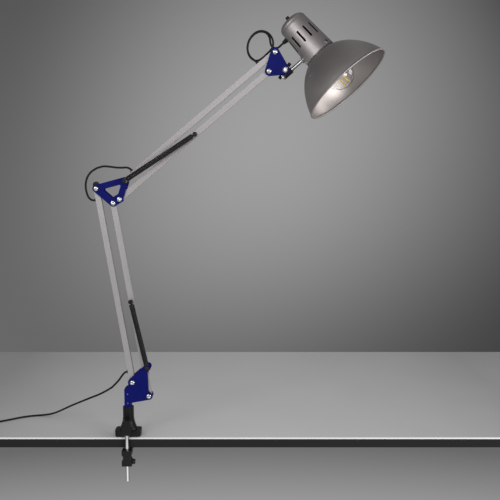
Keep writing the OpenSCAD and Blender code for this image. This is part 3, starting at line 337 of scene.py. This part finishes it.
SPECULAR = "Specular IOR Level"
SPUN = dict(grain=60, stretch=(1, 1, 0.02), vary=0.06, patch=30)
BRUSHED = dict(grain=280, stretch=(60, 1, 1), vary=0.03, spread=0.02, bump=0.004)
finish("cast_black", (0.006, 0.006, 0.007), 0.36, grain=1500, bump=0.25, depth=0.15, vary=0.3,
       **{SPECULAR: 0.26})
finish("pad_rubber", (0.016, 0.016, 0.016), 0.75, grain=2200, bump=0.3, depth=0.1, vary=0.25)
finish("chrome", (0.78, 0.78, 0.80), 0.13, 1.0, grain=700, vary=0.05, spread=0.05, bump=0.02)
finish("bracket_blue", (0.0025, 0.0048, 0.1), 0.42, grain=1300, bump=0.1, depth=0.08, vary=0.16,
       **{SPECULAR: 0.08})
# The arms are all one satin aluminium, brushed along each arm. The upper pair's copy is painted darker:
# painted shade.
finish("lower_satin", (0.425, 0.408, 0.412), 0.42, 0.55, turn=LOWER_ANGLE, **BRUSHED)
finish("upper_satin_shaded", (0.395, 0.372, 0.375), 0.42, 0.55, turn=UPPER_ANGLE, **BRUSHED)
finish("plastic_black", (0.009, 0.009, 0.010), 0.4, grain=1800, bump=0.15, depth=0.06, vary=0.25,
       **{SPECULAR: 0.3})
finish("nylon", (0.62, 0.61, 0.57), 0.5, grain=900, vary=0.07, **{"Subsurface Weight": 0.1})
finish("spring_black", (0.022, 0.020, 0.020), 0.33, 0.5, grain=2500, vary=0.3, bump=0.1)
finish("head_nickel", (0.43, 0.40, 0.395), 0.46, 0.9, spread=0.04, bump=0.008, depth=0.05, spun=0.55, **SPUN)
finish("holder_dark", (0.006, 0.006, 0.006), 0.85, grain=700, vary=0.1, bump=0.02, **{SPECULAR: 0.1})
finish("socket_brass", (0.70, 0.52, 0.24), 0.3, 1.0, grain=700, vary=0.12)
finish("bulb_metal", (0.66, 0.66, 0.67), 0.28, 1.0, grain=800, vary=0.08)
# The strips' faint emission is a painted glow: the bulb is not lit.
finish("filament", (0.85, 0.50, 0.06), 0.5, grain=1500, vary=0.15,
       **{"Emission Color": (1.0, 0.62, 0.12, 1), "Emission Strength": 0.35})
finish("cord_black", (0.006, 0.006, 0.0065), 0.46, grain=1600, bump=0.12, depth=0.06, vary=0.25,
       **{SPECULAR: 0.22})
glass("bulb_glass")


def paint(obj, finish_name):
    obj.data.materials.clear()
    obj.data.materials.append(MATERIALS[finish_name])
    return obj


# Cords: each is a tube along its route's own points, split where it crosses a joint.
CORD_STEPS, COIL_STEPS, CORD_SIDES = 4, 2, 14


def cord(name, route, bodies, nodes, steps=CORD_STEPS):
    """A cord along the route.

    Between two bodies it is baked into place and rides with neither; on one body it rides with that body.
    """
    path = spline(route, steps)
    obj = paint(tube(name, path, CORD_R, CORD_SIDES), "cord_black")
    if len(bodies) == 2:
        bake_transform(obj)
    else:
        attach(obj, bodies[0])
    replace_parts(obj, *nodes)
    return obj


elbow_exit = arm_point(REAR_FOOT, LOWER_ANGLE, LOWER_LENGTH - CORD_HOLE)
elbow_entry = arm_point(TOP_ELBOW, UPPER_ANGLE, CORD_HOLE)
elbow_first = [elbow_exit, (-56.2, 0, 430.9), (-60.8, 0, 432.6), (-64.8, 0, 437.5), (-67.5, 0, 445),
               (-68.8, 0, 453.5), (-68.5, 0, 462), (-65.5, 0, 472), (-59, 0, 481), (-48.5, 0, 488)]
elbow_last = [elbow_first[-1], (-37, 0, 491), (-26, 0, 490.5), (-14, 0, 489), (-4, 0, 488.7), (4.5, 0, 489),
              (10.5, 0, 486.7), elbow_entry]
cord("elbow_cord_rise", elbow_first, ("rear_lower_arm", "elbow"), ["elbow_cord_loop"])
cord("elbow_cord_fall", elbow_last, ("elbow", "top_arm"), ["elbow_cord_loop"])

# The gland stands out sideways from the cup. The cord comes straight to its tip.
GLAND_SEAT, GLAND_Z, GLAND_TIP, GLAND_LEAD = 26.636, -46, 8.05, 11.6
gland_tip = HEAD @ Vector((GLAND_SEAT + GLAND_TIP, 0, GLAND_Z))
gland_lead = HEAD @ Vector((GLAND_SEAT + GLAND_LEAD, 0, GLAND_Z))
head_exit = arm_point(TOP_ELBOW, UPPER_ANGLE, UPPER_LENGTH - HEAD_CORD_HOLE)
head_first = [head_exit, (229.2, 1.4, 676.6), (222.9, 3.9, 682.6), (219.4, 6, 690.6), (218.6, 7.4, 699.4),
              (220.8, 8.1, 708.9), (225.6, 8.4, 717.3)]
head_middle = [head_first[-1], (232.5, 8.6, 723.4), (240.8, 8.8, 726.4), (249.2, 9.1, 725.6),
               (256.4, 9.3, 721.4), (261.4, 9.5, 714.6), (263.6, 9.7, 706.6), (262.6, 9.9, 699),
               (258.3, 10.3, 692.9), (252.2, 11.2, 687), (245.4, 12.3, 681), (238.2, 13.3, 676.6),
               (230.8, 13.7, 676.6), (224.2, 14, 681.2), (220, 14.2, 688.6), (218.7, 14.4, 697.6),
               (220.2, 14.6, 707.2), (224.7, 14.8, 715.9), (231.3, 15, 722.5)]
head_bend = [head_middle[-1], (239.4, 15.2, 726), (247.9, 15.4, 725.7), (254, 15.6, 721.9),
             (257.6, 15.7, 715.9)]
head_last = [head_bend[-1], (258.6, 16, 709.4), (259.9, 16.1, 703.8), (263.2, 15.9, 699.7),
             (268, 15.1, 697.9), (273.4, 13.2, 699.1), gland_lead, gland_tip]
cord("head_cord_rise", head_first, ("top_arm", "head_bracket"), ["head_cord_loop"])
cord("head_cord_ring", head_middle, ("head_bracket",), ["head_cord_loop"])
cord("head_cord_top", head_bend, ("head_bracket", "knuckle"), ["head_cord_loop"])
cord("head_cord_fall", head_last, ("knuckle", "head"), ["head_cord_loop"])

lead_exit = arm_point(REAR_FOOT, LOWER_ANGLE, CORD_HOLE)
lead_first = [lead_exit, (-6, 0, 116), (-11, 1, 110), (-19, 4, 99), (-31, 10, 86)]
lead_middle = [lead_first[-1], (-45, 18, 76), (-60, 28, 66.5), (-79, 39, 56.5), (-98, 51, 46),
               (-117, 65, 35), (-136, 80, 23)]
lead_last = [lead_middle[-1], (-153, 93, 12.5), (-169, 102, 5.5), (-185, 106, 2.3), (-203, 103, 1.8),
             (-222, 94, 1.8), (-240, 80.5, 1.8), (-257, 68.5, 1.8), (-270, 60.5, 1.8), (-281, 57, 1.8),
             (-285, 57, 1.8), (-289, 57, 1.8), (-292.6, 57, 1.8)]
COIL = Vector((-305, 30, 0))
# The coil is wound in and out again, a layer at a time, and climbs to the next layer over part of a turn.
COIL_R, COIL_STEP, LAYERS, LAYER_TURNS, CLIMB = 26, 4.2, 4, 2.5, 0.5
TURN_POINTS = 16
PLUG_AT = Vector((-349, 82, 6.8))
tail = [(-314, 56, 14), (-323, 57, 12.8), (-332, 59.5, 10.8), (-340, 64.5, 8.6), (-346, 72, 7.1),
        PLUG_AT - Vector((0, 3.6, 0)), PLUG_AT, PLUG_AT + Vector((0, 8, 0))]


def coil_point(t):
    """The coil's middle line after t turns."""
    layer = min(LAYERS - 1, int(t / LAYER_TURNS))
    f = t / LAYER_TURNS - layer
    r = COIL_R - COIL_STEP * LAYER_TURNS * (f if layer % 2 == 0 else 1 - f)
    rise = sum(max(0, min(1, (t - k * LAYER_TURNS) / CLIMB + 0.5)) for k in range(1, LAYERS))
    a = math.radians(90 + 360 * t)
    return COIL + Vector((r * math.cos(a), r * math.sin(a), CORD_R + COIL_STEP * rise))


coil = [coil_point(k / TURN_POINTS) for k in range(int(LAYERS * LAYER_TURNS) * TURN_POINTS + 1)]


def coil_tie():
    """A soft strap round the coil's turns."""
    gap, low, top, corner, half, thick, turn = 0.5, 0.2, 17.1, 2.5, 4.5, 0.7, -60
    inner = COIL_R - COIL_STEP * LAYER_TURNS - CORD_R - gap
    outer = COIL_R + CORD_R + gap
    corners = [(outer - corner, top - corner), (inner + corner, top - corner),
               (inner + corner, corner + low), (outer - corner, corner + low)]
    ring = []
    for k, (x, z) in enumerate(corners):
        ring += arc(x, z, corner, 90 * k, 90 * k + 90, 5)
    middle = Vector(((inner + outer) / 2, 0, top / 2))
    verts, faces = [], []
    for r, z in ring:
        out = (Vector((r, 0, z)) - middle).normalized()
        for y, d in ((-half, 0), (half, 0), (half, thick), (-half, thick)):
            verts.append(Vector((r, y, z)) + out * d)
    n = len(ring)
    for i in range(n):
        j = (i + 1) % n
        faces += [(4 * i + k, 4 * i + (k + 1) % 4, 4 * j + (k + 1) % 4, 4 * j + k) for k in range(4)]
    place = Matrix.Translation(COIL) @ Matrix.Rotation(math.radians(turn), 4, "Z")
    return new_object("coil_tie", new_mesh("coil_tie", *moved((verts, faces), place), sharp=35))


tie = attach(paint(coil_tie(), "pad_rubber"), "clamp")


# CAD nodes that keep their shape: a copy with softened edges stands in for each.
SOFT_EDGE, SAME_POINT, SAME_PLANE, SHARP = 0.3, 0.002, 0.5, 30


def dress(node, finish_name=None, edge=SOFT_EDGE):
    source = cad[node]
    body = source["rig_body"]
    finish_name = finish_name or source.material_slots[0].material.name
    form = bmesh.new()
    form.from_mesh(source.data)
    bmesh.ops.remove_doubles(form, verts=form.verts, dist=SAME_POINT * MM)
    bmesh.ops.dissolve_limit(form, angle_limit=math.radians(SAME_PLANE), verts=form.verts,
                             edges=form.edges)
    sharp = [e for e in form.edges if len(e.link_faces) == 2 and e.calc_face_angle(0) > math.radians(SHARP)]
    if sharp:
        bmesh.ops.bevel(form, geom=sharp, offset=edge * MM, segments=2, profile=0.5, affect="EDGES",
                        clamp_overlap=True)
    mesh = bpy.data.meshes.new(node + "_finished")
    form.to_mesh(mesh)
    form.free()
    mesh.polygons.foreach_set("use_smooth", [True] * len(mesh.polygons))
    mesh.set_sharp_from_angle(angle=math.radians(SHARP))
    obj = new_object(node + "_finished", mesh)
    weighted = obj.modifiers.new("even normals", "WEIGHTED_NORMAL")
    weighted.keep_sharp = True
    paint(obj, finish_name)
    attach(obj, body)
    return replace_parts(obj, node)


plug = dress("plug_body", edge=1.2)
pins = dress("plug_pins", edge=0.6)
cord("lead_rise", lead_first, ("rear_lower_arm", "post"), ["power_cord"])
cord("lead_swing", lead_middle, ("post", "clamp"), ["power_cord"])
cord("lead_coil", lead_last + coil + tail, ("clamp",), ["power_cord", "cord_coil"], steps=COIL_STEPS)


# Springs
SPRING_Y, WIRE_R, WIRE_SIDES, TURN_R = -13.5, 0.9, 8, 3.9


def spring(name, a, b, curls, node):
    """A wound spring from a to b. Its curls grow out of the middle at each end."""
    rings, hold, ease = 18, 2.8, 0.75
    p, q = a + Vector((0, SPRING_Y, 0)), b + Vector((0, SPRING_Y, 0))
    axis, side = (q - p).normalized(), Vector((0, 1, 0))
    up = axis.cross(side)
    first = hold + 2 * WIRE_R
    run = (q - p).length - 2 * first
    path = [p + axis * hold]
    for i in range(curls * rings + 1):
        t = i / rings
        grow = min(1, t / ease, (curls - t) / ease)
        angle = 2 * math.pi * t
        path.append(p + axis * (first + run * t / curls)
                    + TURN_R * grow * (side * math.cos(angle) + up * math.sin(angle)))
    path.append(q - axis * hold)
    obj = paint(tube(name, path, WIRE_R, WIRE_SIDES), "spring_black")
    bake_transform(obj)
    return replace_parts(obj, node)


spring("lower_coil_spring", STUD, LOWER_KNOB, 58, "lower_spring")
spring("upper_coil_spring", TOP_ELBOW, UPPER_KNOB, 72, "upper_spring")


# Head: turned forms on the head's own axis
def on_head(name, form, finish_name, nodes, sharp=35):
    obj = paint(new_object(name, new_mesh(name, *form, sharp=sharp), HEAD_PLACE), finish_name)
    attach(obj, "head")
    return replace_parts(obj, *nodes) if nodes else obj


CUP_BACK, CUP_FRONT, CUP_R0, CUP_WIDENS = -58, 15, 25.8, 3.7
CUP_SLOPE = CUP_WIDENS / (CUP_FRONT - CUP_BACK)


def cup_r(z):
    return CUP_R0 + CUP_SLOPE * (z - CUP_BACK)


def cup():
    """The cup's skin with its vent slots left open. A modifier gives it its wall."""
    slots, half, back_end, front_end, middle, tuck = 12, 1.8, -38.0, -13.5, -26, 0.12
    pitch = 360 / slots
    across = [math.sin(math.radians(a)) for a in range(-90, 91, 15)]
    between = 6
    low, high = back_end + half, front_end - half
    rows = [CUP_BACK, CUP_BACK + 0.25, -52, -46, -42, -39.5, low,
            *[low + (high - low) * k / between for k in range(1, between)],
            high, -12.3, -9, -4, 2, 8, 12, CUP_FRONT - 0.5, CUP_FRONT]
    low_row, high_row = rows.index(low), rows.index(high)
    columns = []
    for s in range(slots):
        centre = pitch / 2 + pitch * s
        wide = math.degrees(half / cup_r(middle))
        columns += [(centre + wide * u, u) for u in across]
        rest = pitch - 2 * wide
        columns += [(centre + wide + rest * k / between, None) for k in range(1, between)]
    n = len(columns)
    verts, faces = [], []
    for i, z0 in enumerate(rows):
        for a, u in columns:
            bulge = half * math.sqrt(max(0, 1 - u * u)) if u is not None else 0
            z = z0 - bulge if i == low_row else z0 + bulge if i == high_row else z0
            r = cup_r(z) - (tuck if i == 0 else 0)
            verts.append((r * math.cos(math.radians(a)), r * math.sin(math.radians(a)), z))
    for i in range(len(rows) - 1):
        for k in range(n):
            j = (k + 1) % n
            u, v = columns[k][1], columns[j][1]
            in_slot = u is not None and v is not None and u < v
            if low_row <= i < high_row and in_slot:
                continue
            faces.append((i * n + k, i * n + j, (i + 1) * n + j, (i + 1) * n + k))
    return verts, faces


cup_skin = on_head("cup_shell", cup(), "head_nickel", ["cup"], sharp=50)
wall = cup_skin.modifiers.new("wall", "SOLIDIFY")
wall.thickness = 0.8 * MM
wall.offset = -1
# The cup's inside is painted black. Its skin's cut edges, the slots' sides among them, take the same black
# as painted shade, so the slots stay dark even seen edge-on.
cup_skin.data.materials.append(MATERIALS["plastic_black"])
wall.material_offset = wall.material_offset_rim = 1
wall.use_even_offset = True
soft = cup_skin.modifiers.new("edges", "BEVEL")
soft.width = 0.18 * MM
soft.segments = 2
soft.limit_method = "ANGLE"
soft.angle_limit = math.radians(55)

# The cap closes the cup's back with a rounded corner and a hole in its middle.
cap_h, cap_corner = 9, 8.5
cap_end = CUP_BACK - cap_h
cap = ([(22, -56), (24.4, -56), (24.4, -58.06), (25.5, -58.06), (25.5, -57.6), (25.87, -57.6)]
       + arc(CUP_R0 - cap_corner, -58.3, cap_corner + 0.07, 0, -88, 12)
       + [(9, cap_end), (6.2, cap_end), (5.9, -66.8), (5.9, -65.8), (17, -65.8), (22, -62)])
cap = [(r, max(z, cap_end)) for r, z in cap]
on_head("cup_end_cap", revolve(cap, 96, closed=True), "head_nickel", ["cup_cap"])

rim_r, rim_z, bead_r, shade_wall = 83.2, 86, 1.6, 1
dome_r, dome_h, sleeve_r, sleeve_z = 88.05, 112.5, 27.5, 6.5
dome_z = rim_z + dome_h * math.sqrt(1 - (rim_r / dome_r) ** 2)


def dome(inset, steps=48):
    """The shade's wall from its rim to the sleeve, as part of an ellipse."""
    r, h = dome_r - inset, dome_h - inset
    first, last = math.asin((dome_z - rim_z) / h), math.acos((sleeve_r - inset) / r)
    angles = [first + (last - first) * k / steps for k in range(1, steps + 1)]
    return [(r * math.cos(a), dome_z - h * math.sin(a)) for a in angles]


bead = arc(rim_r - shade_wall / 2, rim_z, bead_r, -108, 252, 20)[:-1]
profile = (dome(0) + [(sleeve_r, sleeve_z), (sleeve_r - shade_wall, sleeve_z)] + dome(shade_wall)[::-1]
           + bead[::-1])
shade = on_head("lamp_shade", revolve(profile, 160, closed=True), "head_nickel", ["shade"], sharp=50)
shade.data.materials.append(finish("shade_inside", (0.38, 0.342, 0.326), 0.4, 1.0, spread=0.05, bump=0.01,
                                   depth=0.1, spun=0.7, **SPUN))
for face in shade.data.polygons:
    outward = face.center.x * face.normal.x + face.center.y * face.normal.y
    if sleeve_z < face.center.z / MM < rim_z - bead_r and outward < 0:
        face.material_index = 1

bulb_z, bulb_r, glass_z, neck_r, glass_wall = 62, 27, 17.5, 12.85, 0.8


def bulb_line(shell):
    """The bulb's outline, a shell's depth inside the glass: a round end, then a cone down to the neck."""
    round_steps, cone_steps = 40, 6
    r = bulb_r - shell
    span = math.hypot(neck_r, bulb_z - glass_z)
    end = 180 - math.degrees(math.atan(neck_r / (bulb_z - glass_z))) - math.degrees(math.acos(r / span))
    angles = [math.radians(end * k / round_steps) for k in range(round_steps + 1)]
    line = [(r * math.sin(a), bulb_z + r * math.cos(a)) for a in angles]
    cone_r, cone_z = line[-1]
    return line + [(cone_r + (neck_r - shell - cone_r) * k / cone_steps,
                    cone_z + (glass_z - cone_z) * k / cone_steps) for k in range(1, cone_steps + 1)]


on_head("bulb_envelope", revolve(bulb_line(0) + bulb_line(glass_wall)[::-1], 72), "bulb_glass",
        ["bulb_glass"], sharp=60)


def bulb_cap():
    """The bulb's screw base, with its thread wound as one helix."""
    base_z, base_r, deep, thread_at, thread_h = -8.5, 12.95, 0.55, 6, 15.5
    n, per_turn, pitch = 72, 10, 3.62
    verts, faces = [], []
    plain = [(4.6, base_z), (5.0, base_z + 0.8), (5.4, base_z + 2.2), (9.5, base_z + 4),
             (12.0, base_z + 5.5)]
    steps = int(thread_h / pitch * per_turn)
    rows = [[(r, z)] * n for r, z in plain]
    for i in range(steps + 1):
        z = base_z + thread_at + thread_h * i / steps
        fade = min(1, i / per_turn, (steps - i) / per_turn)
        rows.append([(base_r - deep + fade * deep * math.cos(2 * math.pi * (i / per_turn - k / n)), z)
                     for k in range(n)])
    rows += [[(r, z)] * n for r, z in ((12.9, 14), (13.2, 15), (13.2, 17.2), (12.9, 17.5))]
    for row in rows:
        for k, (r, z) in enumerate(row):
            a = 2 * math.pi * k / n
            verts.append((r * math.cos(a), r * math.sin(a), z))
    for i in range(len(rows) - 1):
        for k in range(n):
            j = (k + 1) % n
            faces.append((i * n + k, i * n + j, (i + 1) * n + j, (i + 1) * n + k))
    faces += [tuple(range(n))[::-1], tuple(range((len(rows) - 1) * n, len(rows) * n))]
    return verts, faces


on_head("bulb_screw_base", bulb_cap(), "bulb_metal", ["bulb_base"], sharp=45)


STRIP_OUT, STRIP_LOW, STRIP_HIGH = 7, 51, 84
SPOKES = [Vector((math.cos(math.radians(a)), math.sin(math.radians(a)), 0)) for a in (45, 135, 225, 315)]


def up(z):
    return Vector((0, 0, z))


def filaments():
    """Four gold strips round the bulb's axis."""
    strip_r, over = 0.8, 0.6
    forms = []
    for spoke in SPOKES:
        low, high = spoke * STRIP_OUT + up(STRIP_LOW), spoke * STRIP_OUT + up(STRIP_HIGH)
        line = spline([low - up(over), low * 0.5 + high * 0.5, high + up(over)], 6)
        forms.append(sweep(line, strip_r, 12))
    return joined(forms)


def filament_frame():
    """The wires that hold the strips, on a tapered stem."""
    mast_r, wire_r = 0.4, 0.3
    forms = [revolve([(0, 17.6), (3.5, 17.6), (3.4, 20), (2.2, 32), (1.2, 46), (0.9, 50.5), (0, 50.8)], 32)]
    forms.append(sweep([up(50.5), up(67), up(84.4)], mast_r, 10))
    for spoke in SPOKES:
        for z, lift in ((50.7, -0.8), (84.3, 0.8)):
            line = spline([up(z), spoke * STRIP_OUT * 0.5 + up(z + lift), spoke * STRIP_OUT + up(z)], 5)
            forms.append(sweep(line, wire_r, 8))
    return joined(forms)


on_head("bulb_led_strips", filaments(), "filament", ["bulb_filaments"], sharp=60)
on_head("bulb_wire_frame", filament_frame(), "bulb_metal", [], sharp=60)

# Cord gland: a ribbed, tapered collar on the cup's side
ribs, rib_step, rib_taper, groove = 4, 1.5, 0.24, 0.55
gland = [(0, 20), (4.5, 20), (4.5, 23.4), (3.4, 23.4), (3.4, GLAND_SEAT), (4.5, GLAND_SEAT),
         (4.5, GLAND_SEAT + 1.4)]
for k in range(ribs):
    z, r = GLAND_SEAT + 2 + rib_step * k, 4.2 - rib_taper * k
    gland += [(r - groove, z - 0.3), (r - groove, z), (r, z + 0.35), (r - 0.05, z + 0.9)]
gland += [(3.1, GLAND_SEAT + 7.6), (2.8, GLAND_SEAT + 8), (1.9, GLAND_SEAT + 8), (1.85, GLAND_SEAT + 6),
          (0, GLAND_SEAT + 6)]
across_head = Matrix.Translation((0, 0, GLAND_Z)) @ Matrix.Rotation(math.radians(90), 4, "Y")
on_head("cord_relief", moved(revolve(gland, 40), across_head), "plastic_black", ["cord_gland"], sharp=40)


# Fasteners: round-headed bolts with hex sockets, and nuts with chamfers
def bolt_form():
    """A bolt whose head stands on the plane z = 0."""
    head_r, head_h, shaft_r, shaft, socket = 4.75, 3.2, 2.5, 16.5, 1.7
    crown = [(1, 0.28), (0.96, 0.5), (0.85, 0.73), (0.68, 0.9), (0.52, 0.985)]
    return revolve([(0, -shaft), (shaft_r, -shaft), (shaft_r, 0), (head_r - 0.25, 0), (head_r, 0.25),
                    *[(head_r * r, head_h * h) for r, h in crown],
                    (socket + 0.2, head_h, 1), (socket, head_h - 0.15, 1), (socket, head_h * 0.45, 1),
                    (socket * 0.9, head_h * 0.42, 1), (0, head_h * 0.32)], 48)


def nut_form():
    """A nut on the plane z = 0, with the bolt's end coming through it."""
    return revolve([(2.5, 0), (3.7, 0), (4.0, 0.3, 1), (4.0, 3.1, 1), (3.85, 3.5), (3.4, 3.75), (3.1, 4.0),
                    (2.65, 4.0), (2.6, 3.8), (2.5, 3.8), (2.5, 4.6), (2.1, 5.0), (0, 5.0)], 48)


TO_FRONT = Matrix.Rotation(math.radians(90), 4, "X")
TO_BACK = Matrix.Rotation(math.radians(-90), 4, "X")
# From the middle plane of the arms to the outside of a bracket's plate
PLATE = 8
# No two bolts of a bracket stand turned alike.
FIRST_SPIN, NEXT_SPIN = 17, 41


def fasteners(name, pivots, body, node, extra=()):
    """A bolt and a nut through each pivot, as one piece with the extra forms."""
    forms = list(extra)
    for k, p in enumerate(pivots):
        spin = Matrix.Rotation(math.radians(FIRST_SPIN + NEXT_SPIN * k), 4, "Z")
        forms.append(moved(bolt_form(), Matrix.Translation(p + Vector((0, -PLATE, 0))) @ TO_FRONT @ spin))
        forms.append(moved(nut_form(), Matrix.Translation(p + Vector((0, PLATE, 0))) @ TO_BACK @ spin))
    obj = paint(new_object(name, new_mesh(name, *joined(forms), sharp=38)), "chrome")
    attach(obj, body)
    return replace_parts(obj, node)


fasteners("elbow_bolts", [REAR_ELBOW, FRONT_ELBOW, UNDER_ELBOW, TOP_ELBOW], "elbow", "elbow_fasteners")
fasteners("head_bracket_bolts", [UNDER_HEAD, TOP_HEAD], "head_bracket", "head_bracket_fasteners")
CROSS_PINS_Z = (61.3, 78.3)
cross_pin = revolve([(0, -8), (1.2, -8), (1.5, -7.7), (1.5, 7.7), (1.2, 8), (0, 8)], 32)
cross_pins = [moved(cross_pin, Matrix.Translation((0, 0, z)) @ TO_FRONT) for z in CROSS_PINS_Z]
fasteners("foot_bolts", [REAR_FOOT, FRONT_FOOT], "post", "lower_bracket_fasteners", cross_pins)

# Everything else keeps its CAD shape
FINISHES = {"lampholder": "holder_dark", "rear_lower_arm": "lower_satin", "front_lower_arm": "lower_satin",
            "top_arm": "upper_satin_shaded", "under_arm": "upper_satin_shaded"}
EDGES = {"upper_jaw": 1.0, "lower_jaw": 0.9, "upper_jaw_pad": 0.6, "lower_jaw_pad": 0.8,
         "swivel_collar": 0.8, "thumb_screw": 0.7, "lower_spring_knob": 0.7, "upper_spring_knob": 0.7,
         "lower_spring_stud": 0.7, "upper_spring_stud": 0.7, "tilt_knuckle": 0.7, "tilt_bar_tips": 0.9,
         "switch_button": 0.8, "tilt_screw": 0.5, "rear_lower_arm": 0.8, "front_lower_arm": 0.8,
         "top_arm": 0.8, "under_arm": 0.8}
for node in sorted(cad):
    if not cad[node].hide_render:
        dress(node, FINISHES.get(node), EDGES.get(node, SOFT_EDGE))


# Stage: a grey table whose front edge is dark, a soft grey backdrop, and softboxes
def stage_finish(name, grey, rough, fade=None):
    return finish(name, (grey, grey, grey), rough, grain=500, vary=0.03, spread=0.04, bump=0.02, patch=6,
                  fade=fade)


def painted_table_light(g, coords):
    """Painted light on the table top: palest in front of the lamp, darker to both sides and to the back."""
    palest_x, to_right, to_left, pale, dark = 0.13, 0.62, 0.47, 1.04, 0.68
    near_y, far_y, near, far = -0.02, 0.6, 1.1, 0.95
    parts = g.add("ShaderNodeSeparateXYZ", {"Vector": coords}).outputs
    aside = g.math("SUBTRACT", parts["X"], palest_x)
    wide = g.math("MAXIMUM", g.math("DIVIDE", aside, to_right), g.math("DIVIDE", aside, -to_left))
    fall = g.span(g.math("POWER", wide, 2), 0, 1, pale, dark)
    return g.math("MULTIPLY", fall, g.span(parts["Y"], near_y, far_y, near, far))


def table():
    """A long table with a narrow rounded lip along its front edge."""
    x0, x1, y0, y1, low, lip = -1600, 1800, -19, 633, -18, 2.4
    outline = [(y1, 0), (y1, low), (y0, low), (y0, -lip), (y0 + 0.35 * lip, -0.35 * lip), (y0 + lip, 0)]
    n = len(outline)
    verts = [(x0, y, z) for y, z in outline] + [(x1, y, z) for y, z in outline]
    faces = [(k, (k + 1) % n, n + (k + 1) % n, n + k) for k in range(n)]
    faces += [tuple(range(n))[::-1], tuple(range(n, 2 * n))]
    mesh = new_mesh("table", verts, faces, sharp=20)
    mesh.materials.append(stage_finish("table_top", 0.41, 0.55, painted_table_light))
    # The lip is painted paler than the top: a painted highlight along the front edge.
    mesh.materials.append(stage_finish("painted_lip_highlight", 0.64, 0.5))
    mesh.materials.append(stage_finish("table_edge", 0.005, 0.8))
    for face in mesh.polygons:
        ys = [verts[i][1] for i in face.vertices]
        zs = [verts[i][2] for i in face.vertices]
        if max(ys) < y0 + 2 * lip:
            face.material_index = 2 if min(zs) < -2 * lip else 1
    return new_object("table", mesh)


table()


def backdrop():
    """A grey wall with a soft round glow of painted light behind the lamp's head, dimming to the right and
    upwards, and a floor below the table, darker just below its edge and paler further down.

    Only rays that show the wall see it. The object is lit by an even grey and the softboxes.
    """
    world = bpy.data.worlds.new("backdrop")
    scene.world = world
    g = Graph(world)
    direction = g.add("ShaderNodeTexCoord").outputs["Generated"]
    parts = g.add("ShaderNodeSeparateXYZ", {"Vector": direction}).outputs
    side, bottom, top = 0.3, -0.26, 0.2
    x = g.math("MINIMUM", g.math("MAXIMUM", parts["X"], -side), side)
    z = g.math("MINIMUM", g.math("MAXIMUM", parts["Z"], bottom), top)

    glow_x, glow_z, glow_wide, glow_high, slant = 0.2025, 0.158, 0.483, 0.491, 0.447
    off_z = g.math("SUBTRACT", z, glow_z)
    off_x = g.math("SUBTRACT", g.math("SUBTRACT", x, glow_x), g.math("MULTIPLY", off_z, slant))
    squares = [g.math("POWER", g.math("ABSOLUTE", g.math("DIVIDE", off, size), 0), 2)
               for off, size in ((off_x, glow_wide), (off_z, glow_high))]
    away = g.math("SQRT", g.math("ADD", *squares), 0)
    middle, outside = 0.516, 0.0715
    glow = g.add("ShaderNodeMapRange", {"Value": away, "From Min": 0.0, "From Max": 1.0,
                                        "To Min": middle, "To Max": outside},
                 interpolation_type="SMOOTHSTEP").outputs["Result"]
    lean_x, lean_z = 2.098, 1.572
    lean = g.math("SUBTRACT", g.math("SUBTRACT", 1, g.math("MULTIPLY", x, lean_x)),
                  g.math("MULTIPLY", z, lean_z))
    wall = g.math("MULTIPLY", glow, lean)
    floor_low, floor_high, floor_pale, floor_grey = -0.4, -0.335, 0.32, 0.14
    wall_low, wall_high = -0.31, -0.27
    floor = g.span(parts["Z"], floor_low, floor_high, floor_pale, floor_grey)
    above = g.span(parts["Z"], wall_low, wall_high, 0, 1)
    tone = g.math("ADD", g.math("MULTIPLY", wall, above),
                  g.math("MULTIPLY", floor, g.math("SUBTRACT", 1, above)))

    seen = g.add("ShaderNodeBackground", {"Color": (1, 1, 1, 1), "Strength": tone})
    lit = g.add("ShaderNodeBackground", {"Color": (0.5, 0.5, 0.5, 1), "Strength": 1.1})
    rays = g.add("ShaderNodeLightPath").outputs
    shown = g.math("MAXIMUM", g.math("MAXIMUM", rays["Is Camera Ray"], rays["Is Glossy Ray"]),
                   rays["Is Transmission Ray"])
    both = g.add("ShaderNodeMixShader", {"Fac": shown})
    g.tree.links.new(lit.outputs[0], both.inputs[1])
    g.tree.links.new(seen.outputs[0], both.inputs[2])
    g.add("ShaderNodeOutputWorld", {"Surface": both.outputs[0]})


backdrop()


def softbox(name, place, target, size, watts):
    """A rectangular lamp that faces its target. Lengths are in metres."""
    light = bpy.data.lights.new(name, "AREA")
    light.shape = "RECTANGLE"
    light.size, light.size_y = size
    light.energy = watts
    obj = bpy.data.objects.new(name, light)
    obj.location = place
    obj.rotation_euler = (Vector(target) - Vector(place)).to_track_quat("-Z", "Y").to_euler()
    scene.collection.objects.link(obj)


softbox("key", (-0.85, -1.6, 1.05), (0.2, 0, 0.5), (1.0, 1.0), 12)
softbox("right", (1.8, 0.0, 1.05), (0.35, 0, 0.62), (0.8, 0.8), 7)
softbox("fill", (1.45, -1.2, 0.55), (0.35, 0, 0.6), (0.7, 0.6), 13)
softbox("front", (0.35, -2.2, 1.15), (0.3, 0, 0.65), (1.2, 0.5), 5.5)
softbox("floor bounce", (0.1, -0.8, -0.4), (0.0, 0, 0.0), (1.6, 0.25), 1.0)
